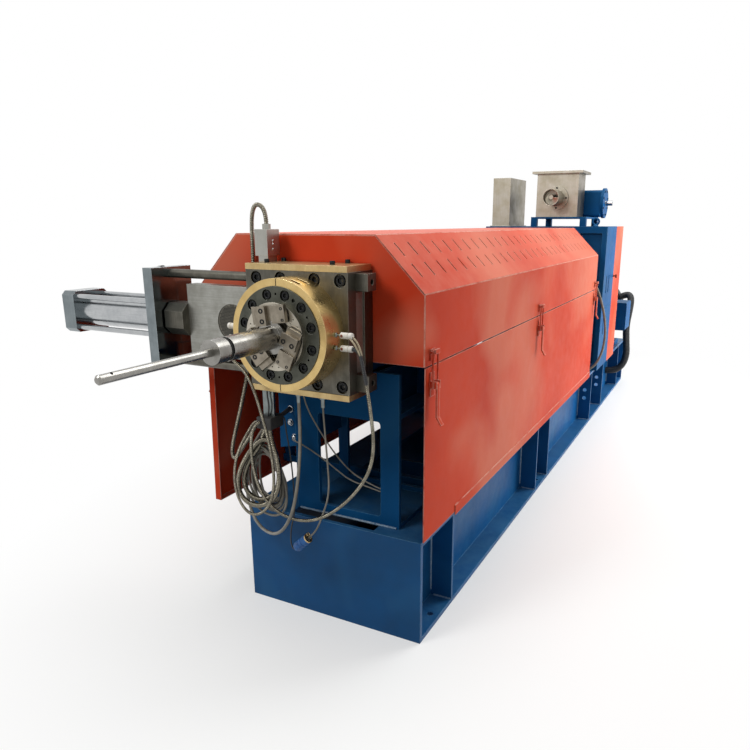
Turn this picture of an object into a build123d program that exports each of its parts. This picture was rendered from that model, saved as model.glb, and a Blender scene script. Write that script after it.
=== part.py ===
from build123d import *
from math import cos, pi, radians, sin, tan
import os

# Plastic extruder with a screen changer, a die-face cutter and a side feeder.
# X is across the machine, Y runs from the die towards the drive, Z is up.
# The origin is on the floor, under the extrusion axis, in the base's front plate.
os.makedirs("parts", exist_ok=True)

# Base frame
base_length = 4310
base_width = 700
base_height = 371
end_plate = 16
flange_width = 182
flange_thick = 16
web_thick = 14
stiffener_thick = 12
stiffener_places = [273, 1429, 1666, 2845, 3287, base_length - 295]
pierced_places = [2845, 3287]
pierced_radius = 13
pierced_heights = [171, 229]
cross_places = [700, 1429, 2160, 2845, base_length - 750]
anchor_x = 318
anchor_radius = 11
anchor_places = [146, 1565, 2960, base_length - 146]

# Extrusion axis and seat gap
axis_height = 1060
seat_gap = 0.3

# Barrel stand
stand_left = -170
stand_right = 242
stand_front = 50
stand_depth = 300
stand_plate = 16
window_left = -75
window_right = 172
window_low = base_height + 34
window_head = 166
window_corner = 12
rear_leg = 42
saddle_thick = 22
bracket_left = -262
bracket_drop = 310
bracket_slope = 20

# Hood of folded sheet
sheet = 3
hood_left = -502
hood_right = 358
hood_front = -9
hood_rear = 2685
hood_flat_left = -335
hood_flat_right = 192
hood_split = axis_height - 105
hood_side_height = 218
hood_fold = hood_split + hood_side_height
hood_drop = 170
hood_top = hood_fold + hood_drop
slot_pitch = 93.5
slot_first = 63
slot_count = 28
slot_width = 8
slot_length = 53
slot_rows = [63, 148]
hood_mouth_radius = 140

# Lower panels
panel_gap = 4
right_panel_low = 374
right_lip_start = 262
right_lip_low = 362
right_lip_high = 397
left_panel_low = 354
left_panel_splay = 13
return_flange = 26
panel_front = -5
cover_bar = 30
bracket_places = [420, 1350, 2280]

# Barrel
barrel_radius = 85
barrel_adapter_radius = 130
barrel_adapter_length = 40
heater_radius = 112
heater_length = 300
heater_pitch = 380
heater_count = 6
feed_block_half = 135
feed_block_start = 2700
throat_half = 45

# Screen changer block
block_half_width = 182
block_half_height = 180
block_front = -155
block_back = -12
block_screw_columns = [156, 68, -53, -143]
block_screw_rise = 156
block_screw_bore = 20
block_screw_depth = 12
brass_thick = 18
brass_inset = 1
slide_front = -110
slide_thick = 48
slide_half_height = 119
slide_left = -473
slide_right = 178
screen_pitch = 285
screen_radius = 62
screen_thick = 24
slide_clear = 0.3

# Rods, yoke and hydraulic cylinder of the screen changer
rod_radius = 15
rod_offset = 150
rod_clear = 0.05
lug_size = 50
lug_length = 40
lug_bore = 9
lug_bore_depth = 22
yoke_left = -600
yoke_right = -560
yoke_half_depth = 89
yoke_half_height = 172
coupling_half_height = 54
coupling_half_depth = 54
coupling_chamfer = 26
ram_radius = 22
cylinder_radius = 54
cylinder_left = -981
cap_left = -1040
cap_half = 75
cap_chamfer = 14
tie_radius = 9.5
tie_offset = 56

# Die head
ring_radius = 165
die_radius = 143
ring_front = -247
die_front = -250
face_radius = 99
face_inner = 62
face_front = -266
face_hole_radius = 2
face_hole_depth = 8
face_hole_circles = [(73, 20, 0), (88, 24, 7)]
ring_slit = 3
ring_pocket_places = [-228, -194]
ring_pocket_width = 13
ring_pocket_start = 34
ring_pocket_floor = 147
die_screw_circle = 121
die_screw_count = 12
counterbore_radius = 16.5
counterbore_depth = 9
die_pin_angles = [0, 60, 120, 180]
die_pin_bore = 3.5
die_jack_angles = [30, 210]
die_jack_bore = 6
spigot_radius = 18
spigot_front = -345
terminal_y = -200
terminal_rises = [9, -28]
terminal_stud_radius = 3
terminal_stud_length = 19
terminal_radius = 9
terminal_length = 38

# Cutter
cutter_gap = 5
hub_radius = 33
hub_front = -526
groove_front = -483
groove_back = -470
groove_depth = 4
holder_radius = 48
cutter_rod_radius = 11
cutter_rod_tip = -862
cross_hole_radius = 3.5
cross_hole_back = 36
spigot_clear = 0.05
arm_count = 3
arm_first_angle = 97
arm_inner = 40
arm_outer = 91
arm_left = -56
arm_right = 61
arm_thick = 8
arm_seat_left = 15
arm_seat_rise = 6
clamp_left = -40
clamp_right = -2
clamp_inner = 35
clamp_thick = 11

# Terminal box on the block
box_left = -185
box_width = 48
box_front = -100
box_depth = 62
box_low_gap = 19
box_height = 80
gland_radius = 13
gland_height = 16

# Glands, bar and clamp under the block, where the leads are held
lead_gland_y = -100
block_gland_x = -42
block_gland_tip = 820
plug_gland_x = 50
plug_gland_tip = 815
gland_nut_radius = 10
gland_nut_height = 20
gland_sleeve_radius = 6.5
lead_bar_left = -181
lead_bar_right = -139
lead_bar_front = -106
lead_bar_back = -96
lead_clamp_left = -190
lead_clamp_right = -134
lead_clamp_front = -132
lead_clamp_back = -64
lead_clamp_low = 722
lead_clamp_high = 760

# Drive cabinet
cabinet_left = -475
cabinet_right = 375
cabinet_front = 2860
cabinet_rear = 3540
cabinet_height = 979
cabinet_top = base_height + cabinet_height
cover_front = 3240
cover_thick = 4
recess_side = 29
recess_rise = 43
recess_middle = 60
recess_depth = 25
side_seam = 800
side_seam_width = 3
louvre_width = 22
louvre_height = 120
louvre_rows = [610, 900]
louvre_places = [2960, 3050]

# Steel chute on the cabinet
chute_left = -443
chute_right = -317
chute_front = 2900
chute_rear = 3278
chute_height = 331
chute_top = cabinet_top + chute_height
chute_wall = 3
chute_flange = 12

# Side feeder
table_rise = 52
table_height = cabinet_top + table_rise
table_thick = 12
table_top = table_height + table_thick
table_left = -155
table_right = 222
table_front = 2885
table_rear = 3330
table_leg = 40
feeder_left = -132
feeder_right = 152
feeder_front = 2920
feeder_rear = 3130
feeder_height = 286
feeder_top = table_top + feeder_height
feeder_wall = 4
feeder_rim = 30
rim_thick = 16
trough_centre = 10
trough_rise = 126
trough_height = table_top + trough_rise
trough_radius = 54
trough_wall = 4
trough_reach = 175
trough_flange_radius = 78
trough_flange_thick = 14
feed_screw_core = 14
feed_screw_radius = 46
feed_screw_pitch = 60
feed_flight_thick = 5
flight_end_gap = 40
screw_tail = 12
feeder_motor_left = -190
feeder_motor_right = 120
feeder_motor_radius = 84
feeder_drive_y = 3240
feeder_drive_rise = 96
feeder_drive_height = table_top + feeder_drive_rise
fin_count = 28
reducer_left = 124
reducer_right = 262
reducer_half = 88
reducer_flange_radius = 103
reducer_flange_thick = 20
output_radius = 17
output_tip = 330
output_collar_radius = 20
output_collar_stand = 1

# Main motor behind the cabinet
motor_centre_x = 60
motor_radius = 238
motor_foot = 30
motor_belly_gap = 1
motor_height = base_height + motor_foot + motor_belly_gap + motor_radius
motor_front = 3580
motor_rear = 4180
motor_foot_width = 520
motor_neck_half = 160
motor_neck_inset = 80
motor_neck_rise = 60
motor_fin = 14
motor_fins = 36
cowl_radius = 268
cowl_depth = 110
terminal_left = 318
terminal_right = 430
terminal_front = 3680
terminal_rear = 3900
terminal_low = motor_height - 100
terminal_high = terminal_low + 220

# Latches between hood and lower panels
latch_places = [40, 1285, 2640]
latch_hook_height = hood_split + 37
latch_base_height = hood_split - 60
latch_plate_thick = 5
latch_width = 30
lever_length = 130
lever_thick = 6
lever_pin_radius = 4
lever_pin_stand = 17
lever_clear = 0.05
loop_wire = 3
hook_lip = 8
cheek_thick = 5
tip_angle = 32

# Leads and conduits: radii, and the points that each one's line runs by
box_conduit_radius = 7
box_conduit_route = [
    (-161, -69, 1373), (-161, -69, 1398), (-178, -64, 1427), (-214, -51, 1434), (-240, -38, 1408),
    (-252, -29, 1356), (-258, -22, 1270), (-266, -19, 1150), (-281, -19, 1030), (-300, -23, 905),
    (-328, -32, 785),
    (-360, -44, 665), (-376, -54, 590), (-360, -62, 558), (-322, -72, 600), (-264, -82, 666),
    (-236, -85, 712), (-212, -86, 741), (-190, -86, 741)]
left_lead_radius = 5
left_lead_route = [
    (-222, -200, 1032), (-236, -200, 1032), (-245, -200, 1016), (-239, -200, 990), (-212, -199, 956),
    (-170, -198, 928), (-146, -189, 868), (-126, -181, 780), (-107, -178, 695), (-95, -178, 615), (-97, -178, 545),
    (-116, -178, 482), (-157, -176, 440), (-206, -172, 424), (-251, -167, 452), (-275, -163, 510),
    (-272, -161, 585), (-252, -154, 650), (-226, -137, 704), (-208, -120, 742), (-190, -120, 742)]
ring_lead_radius = 5.5
ring_lead_route = [
    (222, -200, 1032), (236, -200, 1032), (246, -200, 1017), (253, -199, 985), (264, -196, 925),
    (273, -192, 850), (280, -187, 760), (266, -181, 680), (228, -176, 612), (167, -171, 540), (96, -167, 482),
    (28, -164, 448), (-43, -162, 439), (-112, -161, 456), (-158, -161, 497), (-182, -161, 548),
    (-195, -160, 605), (-198, -159, 658), (-194, -160, 695), (-187, -158, 722), (-178, -150, 743),
    (-178, -132, 743)]
block_lead_radius = 5.5
block_lead_route = [
    (-42, -100, 820), (-42, -100, 778), (-34, -111, 706), (-24, -136, 620), (-18, -166, 535),
    (-28, -182, 466), (-62, -180, 408), (-110, -162, 370), (-167, -132, 350), (-228, -98, 342),
    (-284, -68, 360), (-318, -52, 418), (-326, -46, 490), (-312, -44, 560), (-284, -43, 622),
    (-249, -41, 674), (-215, -40, 716), (-190, -37, 740), (-168, -42, 748), (-168, -64, 748)]
plug_lead_radius = 3
plug_lead_route = [
    (50, -100, 815), (50, -100, 791), (58, -107, 748), (67, -115, 690), (73, -118, 628),
    (77, -119, 568), (69, -118, 512), (49, -117, 460), (34, -116, 422), (11.5, -115, 381),
    (-14, -115, 357)]
plug_rear = (-65, -115, 309)
plug_radius = 17.5
plug_cap_length = 6
plug_rear_band = 22
plug_band_gap = 3
plug_ring_length = 12
plug_front_band = 22
plug_groove = 2
plug_face_rim = 5
plug_face_recess = 5
coil_front = -140
coil_back = -64
coil_round = 16
coil_outer = [(-184, 722), (-142, 722), (-84, 600), (-90, 440), (-160, 374), (-262, 374), (-332, 440),
              (-326, 560)]
coil_inner = [(-176, 640), (-150, 590), (-152, 500), (-212, 440), (-262, 480), (-252, 570)]

# Leads and a hose that the machine holds at both ends
tail_radius = 2.5
tail_route = [
    (-65, -115, 309), (-75.2, -115, 299.4), (-88, -111, 310), (-95, -105, 338), (-100, -90, 371),
    (-106, -62, 406), (-113, -50, 454), (-117, -47, 515), (-122, -46, 578), (-130, -45, 640),
    (-140, -44, 696), (-144, -42, 728), (-144, -48, 746), (-144, -64, 746)]
window_lead_radius = 2.5
upper_window_route = [
    (-30, -92, 862), (-30, -92, 820), (-14, -10, 682), (15, 40, 591), (45, 78, 531), (95, 84, 506),
    (154, 82, 491), (196, 86, 484), (196, 66, 484)]
lower_window_route = [
    (-196, 82, 626), (-196, 60, 626), (-172, 42, 628), (-123, 38, 617), (-52, 42, 581), (-12, 66, 538),
    (31, 80, 502), (105, 82, 489), (158, 86, 478), (186, 88, 474), (186, 66, 474)]
rear_cable_radius = 8
rear_cable_route = [
    (338, 2685, 1000), (338, 2711, 1000), (355, 2738, 960), (384, 2758, 880), (410, 2765, 790),
    (426, 2766, 700), (429, 2764, 610), (419, 2758, 525), (393, 2747, 452), (358, 2737, 412),
    (331, 2731, 396), (331, 2731, 371)]
motor_hose_radius = 28
motor_hose_route = [
    (304, 4235, 752.5), (340, 4235, 769), (376, 4212, 770), (398, 4160, 738), (402, 4080, 655),
    (398, 3985, 540), (414, 3950, 410), (428, 3945, 300), (402, 3945, 205), (338, 3945, 150), (266, 3945, 150)]


def block(x0, x1, y0, y1, z0, z1):
    centre = Pos((x0 + x1) / 2, (y0 + y1) / 2, (z0 + z1) / 2)
    return centre * Box(x1 - x0, y1 - y0, z1 - z0)


def rod_along_x(x0, x1, y, z, radius):
    return Pos((x0 + x1) / 2, y, z) * Rot(0, 90, 0) * Cylinder(radius, x1 - x0)


def rod_along_y(y0, y1, x, z, radius):
    return Pos(x, (y0 + y1) / 2, z) * Rot(90, 0, 0) * Cylinder(radius, y1 - y0)


def rod_along_z(z0, z1, x, y, radius):
    return Pos(x, y, (z0 + z1) / 2) * Cylinder(radius, z1 - z0)


def prism_along_y(points, y0, y1):
    # An outline in X and Z, drawn out from y0 to y1.
    outline = make_face(Polyline([(x, z) for x, z in points], close=True))
    return Pos(0, y1, 0) * Rot(90, 0, 0) * extrude(outline, y1 - y0)


def largest_bends(points):
    # Each corner's arc is as large as the two runs beside it allow.
    radii = []
    for before, corner, after in zip(points, points[1:], points[2:]):
        run_in = Vector(*corner) - Vector(*before)
        run_out = Vector(*after) - Vector(*corner)
        shorter = min(run_in.length, run_out.length)
        radii.append(0.45 * shorter / tan(radians(run_in.get_angle(run_out)) / 2))
    return radii


def tube_along(name, points, radius):
    radii = largest_bends(points)
    path = FilletPolyline(*points, radius=radii)
    tube = sweep(Plane(origin=path @ 0, z_dir=path % 0) * Circle(radius), path=path)
    share = tube.volume / (pi * radius ** 2 * path.length)
    print(f"{name}: {path.length:.0f} mm, volume share {share:.4f}, radii",
          " ".join(f"{bend:.0f}" for bend in radii))
    return tube


def save(name, *shapes):
    solids = [solid for shape in shapes for solid in shape.solids()]
    whole = solids[0] if len(solids) == 1 else Compound(children=solids)
    export_step(whole, f"parts/{name}.step")


def make_base():
    half = base_width / 2
    inner = half - flange_width
    web_centre = half - flange_width / 2
    y0 = end_plate / 2
    y1 = base_length - end_plate / 2
    front = block(-half, half, -end_plate / 2, end_plate / 2, 0, base_height)
    beams = [front, Pos(0, base_length, 0) * front]
    for side in (-1, 1):
        beam = block(inner, half, y0, y1, 0, flange_thick)
        beam += block(inner, half, y0, y1, base_height - flange_thick, base_height)
        beam += block(web_centre - web_thick / 2, web_centre + web_thick / 2, y0, y1, 0, base_height)
        for place in anchor_places:
            beam -= rod_along_z(-1, flange_thick + 1, anchor_x, place, anchor_radius)
        beams.append(beam if side > 0 else mirror(beam, Plane.YZ))
    save("base_frame", *beams)

    stiffeners = []
    web_face = web_centre + web_thick / 2
    for place in stiffener_places:
        plate = block(web_face, half, place - stiffener_thick / 2, place + stiffener_thick / 2,
                      flange_thick, base_height - flange_thick)
        if place in pierced_places:
            middle = (web_face + half) / 2
            for height in pierced_heights:
                plate -= rod_along_y(place - stiffener_thick, place + stiffener_thick,
                                     middle, height, pierced_radius)
        stiffeners += [plate, mirror(plate, Plane.YZ)]
    reach = web_centre - web_thick / 2
    crosses = [block(-reach, reach, place - stiffener_thick / 2, place + stiffener_thick / 2,
                     flange_thick, base_height - flange_thick) for place in cross_places]
    save("base_stiffeners", *stiffeners, *crosses)


def make_stand():
    rear = stand_front + stand_depth
    top = axis_height - barrel_adapter_radius
    plate_top = top - saddle_thick
    window_high = plate_top - window_head
    bracket_low = plate_top - bracket_drop
    front = block(stand_left, stand_right, stand_front, stand_front + stand_plate, base_height, plate_top)
    middle_x = (window_left + window_right) / 2
    middle_z = (window_low + window_high) / 2
    window = RectangleRounded(window_right - window_left, window_high - window_low, window_corner)
    cutter = Pos(middle_x, stand_front - 1, middle_z) * Rot(-90, 0, 0) * extrude(window, stand_plate + 2)
    front -= cutter
    back = block(stand_left, stand_right, rear - stand_plate, rear, base_height, plate_top)
    back -= block(stand_left + rear_leg, stand_right - rear_leg, rear - stand_plate - 1, rear + 1,
                  window_low, window_high)
    foot = block(stand_left, stand_right, stand_front + stand_plate, rear - stand_plate,
                 base_height, base_height + stand_plate)
    shelf = block(stand_left, stand_right, stand_front + stand_plate, rear - stand_plate,
                  window_high + stand_plate, window_high + 2 * stand_plate)
    spine = block(window_right - stand_plate, window_right, stand_front + stand_plate, rear - stand_plate,
                  window_high + 2 * stand_plate, plate_top)
    saddle = block(-barrel_adapter_radius, barrel_adapter_radius, stand_front, rear, plate_top,
                   axis_height - barrel_radius - seat_gap)
    saddle -= rod_along_y(stand_front - 1, rear + 1, 0, axis_height, barrel_radius + seat_gap)
    # Adjusting bracket at the stand's left, with a slanted lower edge
    y0 = stand_front + 2 * stand_plate
    y1 = y0 + stand_plate
    wing = prism_along_y([(bracket_left, bracket_low - bracket_slope), (stand_left, bracket_low),
                          (stand_left, plate_top), (bracket_left, plate_top)], y0, y1)
    cheek = block(stand_left, stand_left + stand_plate, stand_front + stand_plate, rear - stand_plate,
                  bracket_low, plate_top)
    save("barrel_stand", front + back + foot + shelf + spine + saddle + cheek + wing)


def make_hood():
    width_left = hood_flat_left - hood_left
    width_right = hood_right - hood_flat_right
    top = block(hood_flat_left, hood_flat_right, hood_front, hood_rear, hood_top - sheet, hood_top)
    right_side = block(hood_right - sheet, hood_right, hood_front, hood_rear, hood_split, hood_fold)
    left_side = block(hood_left, hood_left + sheet, hood_front, hood_rear, hood_split, hood_fold)
    save("hood_panels", top, right_side, left_side)

    panels = []
    for edge, flat, width, side in ((hood_right, hood_flat_right, width_right, 1),
                                    (hood_left, hood_flat_left, width_left, -1)):
        slope = (width ** 2 + hood_drop ** 2) ** 0.5
        shift_x = side * sheet * hood_drop / slope
        shift_z = sheet * width / slope
        corners = [(flat, hood_top), (edge, hood_fold), (edge - side * sheet, hood_fold),
                   (flat, hood_top - sheet)]
        panel = prism_along_y(corners, hood_front, hood_rear)
        cuts = []
        for row in slot_rows:
            reach = row / slope
            centre_x = flat + side * width * reach - shift_x / 2
            centre_z = hood_top - hood_drop * reach - shift_z / 2
            tilt = side * Vector(width, 0, -hood_drop).get_angle(Vector(1, 0, 0))
            for number in range(slot_count):
                place = slot_first + slot_pitch * number
                slot = Box(slot_length, slot_width, 4 * sheet)
                cuts.append(Pos(centre_x, place, centre_z) * Rot(0, tilt, 0) * slot)
        panels.append(panel - cuts)
    save("vent_panels", *panels)

    inner = [(hood_left + sheet, hood_split), (hood_right - sheet, hood_split),
             (hood_right - sheet, hood_fold - sheet), (hood_flat_right - sheet / 2, hood_top - sheet),
             (hood_flat_left + sheet / 2, hood_top - sheet), (hood_left + sheet, hood_fold - sheet)]
    front = prism_along_y(inner, hood_front, hood_front + sheet)
    front -= rod_along_y(hood_front - 1, hood_front + sheet + 1, 0, axis_height, hood_mouth_radius)
    rear = prism_along_y(inner, hood_rear - sheet, hood_rear)
    rear -= rod_along_y(hood_rear - sheet - 1, hood_rear + 1, 0, axis_height, hood_mouth_radius)
    save("hood_end_plates", front, rear)


def make_lower_panels():
    top = hood_split - panel_gap
    right = block(hood_right - sheet, hood_right, panel_front, hood_rear, right_panel_low, top)
    right -= block(hood_right - 2 * sheet, hood_right + sheet, right_lip_start + sheet, hood_rear + 1,
                   right_panel_low - 1, right_lip_high)
    lip = block(hood_right, hood_right + sheet, right_lip_start, hood_rear, right_lip_low,
                right_lip_high + sheet)
    step = block(hood_right - sheet, hood_right + sheet, right_lip_start, hood_rear,
                 right_lip_high, right_lip_high + sheet)
    save("right_lower_panel", right + lip + step)

    low_left = hood_left - left_panel_splay
    skin = prism_along_y([(hood_left, top), (hood_left + sheet, top), (low_left + sheet, left_panel_low),
                          (low_left, left_panel_low)], panel_front, hood_rear)
    flange = prism_along_y([(hood_left + sheet, top), (hood_left + return_flange, top),
                            (low_left + return_flange, left_panel_low), (low_left + sheet, left_panel_low)],
                           panel_front, panel_front + sheet)
    ledge = block(low_left + sheet, low_left + return_flange, panel_front + sheet, hood_rear,
                  left_panel_low, left_panel_low + sheet)
    save("left_lower_panel", skin + flange + ledge)

    # Cross bars and posts on the base, which carry both lower panels and the hood
    supports = []
    bar_top = base_height + cover_bar
    lean = left_panel_splay * (top - bar_top) / (top - left_panel_low)
    left_end = hood_left + sheet - lean + seat_gap
    right_end = hood_right - sheet - seat_gap
    for place in bracket_places:
        supports.append(block(left_end, right_end, place, place + cover_bar, base_height, bar_top))
        for x in (hood_left + sheet + seat_gap, right_end - cover_bar):
            supports.append(block(x, x + cover_bar, place, place + cover_bar, bar_top + seat_gap,
                                  hood_split + cover_bar))
    save("cover_brackets", *supports)


def make_barrel():
    flange_end = block_back + barrel_adapter_length
    flange = rod_along_y(block_back, flange_end, 0, axis_height, barrel_adapter_radius)
    tube = rod_along_y(flange_end, feed_block_start, 0, axis_height, barrel_radius)
    save("barrel", flange + tube)
    heaters = []
    first = stand_front + stand_depth + 30
    for number in range(heater_count):
        y0 = first + heater_pitch * number
        ring = rod_along_y(y0, y0 + heater_length, 0, axis_height, heater_radius)
        heaters.append(ring - rod_along_y(y0 - 1, y0 + heater_length + 1, 0, axis_height,
                                          barrel_radius + seat_gap))
    save("barrel_heaters", *heaters)
    half = feed_block_half
    housing = block(-half, half, feed_block_start, cabinet_front, axis_height - half, axis_height + half)
    middle = (feed_block_start + cabinet_front) / 2
    housing -= block(-throat_half, throat_half, middle - throat_half, middle + throat_half,
                     axis_height, axis_height + half + 1)
    save("feed_housing", housing)


def make_screen_changer():
    low = axis_height - block_half_height
    high = axis_height + block_half_height
    mid = slide_front + slide_thick / 2
    body = block(-block_half_width, block_half_width, block_front, block_back, low, high)
    body -= block(-block_half_width - 1, block_half_width + 1, slide_front - slide_clear,
                  slide_front + slide_thick + slide_clear, axis_height - slide_half_height - slide_clear,
                  axis_height + slide_half_height + slide_clear)
    for side in (-1, 1):
        body -= rod_along_x(-block_half_width - 1, block_half_width + 1, mid,
                            axis_height + side * rod_offset, rod_radius + rod_clear)
        for x in block_screw_columns:
            body -= rod_along_y(block_front - 1, block_front + block_screw_depth, x,
                                axis_height + side * block_screw_rise, block_screw_bore)
    save("screen_changer_block", body)

    plates = []
    for z0 in (low - brass_thick, high):
        plates.append(block(-block_half_width + brass_inset, block_half_width - brass_inset,
                            block_front - 2, block_back - 4, z0, z0 + brass_thick))
    save("block_heater_plates", *plates)

    lugs = []
    rods = []
    for side in (-1, 1):
        height = axis_height + side * rod_offset
        lug = block(block_half_width, block_half_width + lug_length, mid - lug_size / 2,
                    mid + lug_size / 2, height - lug_size / 2, height + lug_size / 2)
        lug -= rod_along_x(block_half_width + lug_length - lug_bore_depth, block_half_width + lug_length + 1,
                           mid, height, lug_bore)
        lugs.append(lug)
        rods.append(rod_along_x(yoke_right, block_half_width, mid, height, rod_radius))
    save("rod_end_lugs", *lugs)
    save("guide_rods", *rods)

    slide = block(slide_left, slide_right, slide_front, slide_front + slide_thick,
                  axis_height - slide_half_height, axis_height + slide_half_height)
    screens = []
    for x in (0, -screen_pitch):
        slide -= rod_along_y(slide_front - 1, slide_front + screen_thick, x, axis_height, screen_radius)
        slide -= rod_along_y(slide_front, slide_front + slide_thick + 1, x, axis_height, screen_radius - 8)
        screens.append(rod_along_y(slide_front + 2, slide_front + screen_thick, x, axis_height,
                                   screen_radius - seat_gap))
    save("slide_plate", slide)
    save("breaker_plates", *screens)

    coupling = Pos((yoke_right + 6 + slide_left) / 2, mid, axis_height) * Box(
        slide_left - yoke_right - 6, 2 * coupling_half_depth, 2 * coupling_half_height)
    coupling = chamfer(coupling.edges().filter_by(Axis.X), coupling_chamfer)
    save("ram_coupling", coupling)

    yoke = block(yoke_left, yoke_right, mid - yoke_half_depth, mid + yoke_half_depth,
                 axis_height - yoke_half_height, axis_height + yoke_half_height)
    yoke -= rod_along_x(yoke_left - 1, yoke_right + 1, mid, axis_height, ram_radius + rod_clear)
    save("yoke_plate", yoke)

    tube = rod_along_x(cylinder_left, yoke_left, mid, axis_height, cylinder_radius)
    tube -= rod_along_x(cylinder_left + 50, yoke_left + 1, mid, axis_height, ram_radius + 12)
    save("cylinder_tube", tube)
    stroke_end = cylinder_left + 60
    save("ram", rod_along_x(stroke_end, yoke_right + 6, mid, axis_height, ram_radius))

    cap = block(cap_left, cylinder_left, mid - cap_half, mid + cap_half, axis_height - cap_half,
                axis_height + cap_half)
    cap = chamfer(cap.edges().filter_by(Axis.X), cap_chamfer)
    save("cylinder_cap", cap)
    ties = []
    for side_y in (-1, 1):
        for side_z in (-1, 1):
            ties.append(rod_along_x(cylinder_left, yoke_left, mid + side_y * tie_offset,
                                    axis_height + side_z * tie_offset, tie_radius))
    save("cylinder_tie_rods", *ties)


def make_die_head():
    body = rod_along_y(die_front, block_front, 0, axis_height, die_radius)
    screw_angles = [360 * (number + 0.5) / die_screw_count for number in range(die_screw_count)]
    for angles, bore in ((screw_angles, counterbore_radius), (die_pin_angles, die_pin_bore),
                         (die_jack_angles, die_jack_bore)):
        for angle in angles:
            x = die_screw_circle * sin(radians(angle))
            z = axis_height + die_screw_circle * cos(radians(angle))
            body -= rod_along_y(die_front - 1, die_front + counterbore_depth, x, z, bore)
    save("die_body", body)

    face = rod_along_y(face_front, die_front, 0, axis_height, face_radius)
    face -= rod_along_y(face_front - 1, die_front - 4, 0, axis_height, face_inner)
    for radius, count, turn in face_hole_circles:
        for number in range(count):
            angle = 2 * pi * number / count + radians(turn)
            face -= rod_along_y(face_front - 1, face_front + face_hole_depth, radius * sin(angle),
                                axis_height + radius * cos(angle), face_hole_radius)
    face += rod_along_y(spigot_front, die_front - 4, 0, axis_height, spigot_radius)
    save("die_face", face)

    ring = rod_along_y(ring_front, block_front, 0, axis_height, ring_radius)
    ring -= rod_along_y(ring_front - 1, block_front + 1, 0, axis_height, die_radius + seat_gap)
    ring -= block(-ring_slit / 2, ring_slit / 2, ring_front - 1, block_front + 1,
                  axis_height - ring_radius - 1, axis_height + ring_radius + 1)
    # Pockets for the screws that draw the ring's halves together
    for place in ring_pocket_places:
        ring -= block(ring_pocket_start, ring_radius, place - ring_pocket_width / 2,
                      place + ring_pocket_width / 2, axis_height + ring_pocket_floor,
                      axis_height + ring_radius)
    save("die_heater_ring", ring)

    # Two ceramic terminals stand out of each half of the heater ring
    posts = []
    foot = ring_radius + terminal_stud_length
    for rise in terminal_rises:
        z = axis_height + rise
        post = rod_along_x(ring_radius - terminal_stud_length, foot, terminal_y, z, terminal_stud_radius)
        post += rod_along_x(foot, foot + terminal_length, terminal_y, z, terminal_radius)
        post -= rod_along_y(ring_front, block_front, 0, axis_height, ring_radius + seat_gap)
        posts += [post, mirror(post, Plane.YZ)]
    save("ring_terminals", *posts)


def make_cutter():
    back = face_front - cutter_gap
    arm_face = back - arm_thick
    hub = rod_along_y(hub_front, arm_face, 0, axis_height, hub_radius)
    groove = rod_along_y(groove_front, groove_back, 0, axis_height, hub_radius + 1)
    groove -= rod_along_y(groove_front, groove_back, 0, axis_height, hub_radius - groove_depth)
    hub -= groove
    hub += rod_along_y(arm_face, back, 0, axis_height, holder_radius)
    hub -= rod_along_y(spigot_front - 4, back + 1, 0, axis_height, spigot_radius + spigot_clear)
    save("cutter_hub", hub)

    shaft = rod_along_y(cutter_rod_tip, hub_front, 0, axis_height, cutter_rod_radius)
    shaft = chamfer(shaft.edges().group_by(Axis.Y)[0], 4)
    hole = cutter_rod_tip + cross_hole_back
    shaft -= Pos(0, hole, axis_height) * Cylinder(cross_hole_radius, 4 * cutter_rod_radius)
    save("cutter_shaft", shaft)

    arms = []
    clamps = []
    for number in range(arm_count):
        turn = arm_first_angle - 90 - 360 / arm_count * number
        swing = Pos(0, 0, axis_height) * Rot(0, -turn, 0) * Pos(0, 0, -axis_height)
        arm = block(arm_left, arm_right, arm_face, back, axis_height + arm_inner, axis_height + arm_outer)
        arm -= rod_along_y(arm_face - 1, back + 1, 0, axis_height, holder_radius + seat_gap)
        arm += block(arm_seat_left, arm_right, arm_face - arm_seat_rise, arm_face,
                     axis_height + arm_inner, axis_height + arm_outer)
        clamp = block(clamp_left, clamp_right, arm_face - seat_gap - clamp_thick, arm_face - seat_gap,
                      axis_height + clamp_inner, axis_height + arm_outer)
        arms.append(swing * arm)
        clamps.append(swing * clamp)
    save("knife_arms", *arms)
    save("knife_clamps", *clamps)


def make_terminal_box():
    low = axis_height + block_half_height + brass_thick
    lift = low + box_low_gap
    case = block(box_left, box_left + box_width, box_front, box_front + box_depth, lift, lift + box_height)
    foot = block(box_left + 6, box_left + box_width - 6, box_front + 8, box_front + box_depth - 8, low, lift)
    gland_x = box_left + box_width / 2
    gland_y = box_front + box_depth / 2
    gland = rod_along_z(lift + box_height, lift + box_height + gland_height, gland_x, gland_y, gland_radius)
    save("terminal_box", case + foot + gland)


def make_cabinet():
    body_right = cabinet_right - cover_thick
    body = block(cabinet_left, body_right, cabinet_front, cabinet_rear, base_height, cabinet_top)
    for x0, x1 in ((cabinet_left + recess_side, -feed_block_half - recess_middle),
                   (feed_block_half + recess_middle, body_right - recess_side)):
        body -= block(x0, x1, cabinet_front - 1, cabinet_front + recess_depth,
                      base_height + recess_rise, cabinet_top - recess_rise)
    save("gear_cabinet", body)

    side = block(body_right, cabinet_right, cabinet_front, cover_front - 1, base_height, cabinet_top)
    side -= block(body_right - 1, cabinet_right + 1, cabinet_front - 1, cover_front,
                  side_seam - side_seam_width / 2, side_seam + side_seam_width / 2)
    for z in louvre_rows:
        for y in louvre_places:
            side -= block(body_right - 1, cabinet_right + 1, y, y + louvre_width, z, z + louvre_height)
    save("cabinet_side_panel", side)
    cover = block(body_right, cabinet_right, cover_front + 1, cabinet_rear, base_height, cabinet_top)
    save("cabinet_guard_panel", cover)


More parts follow.
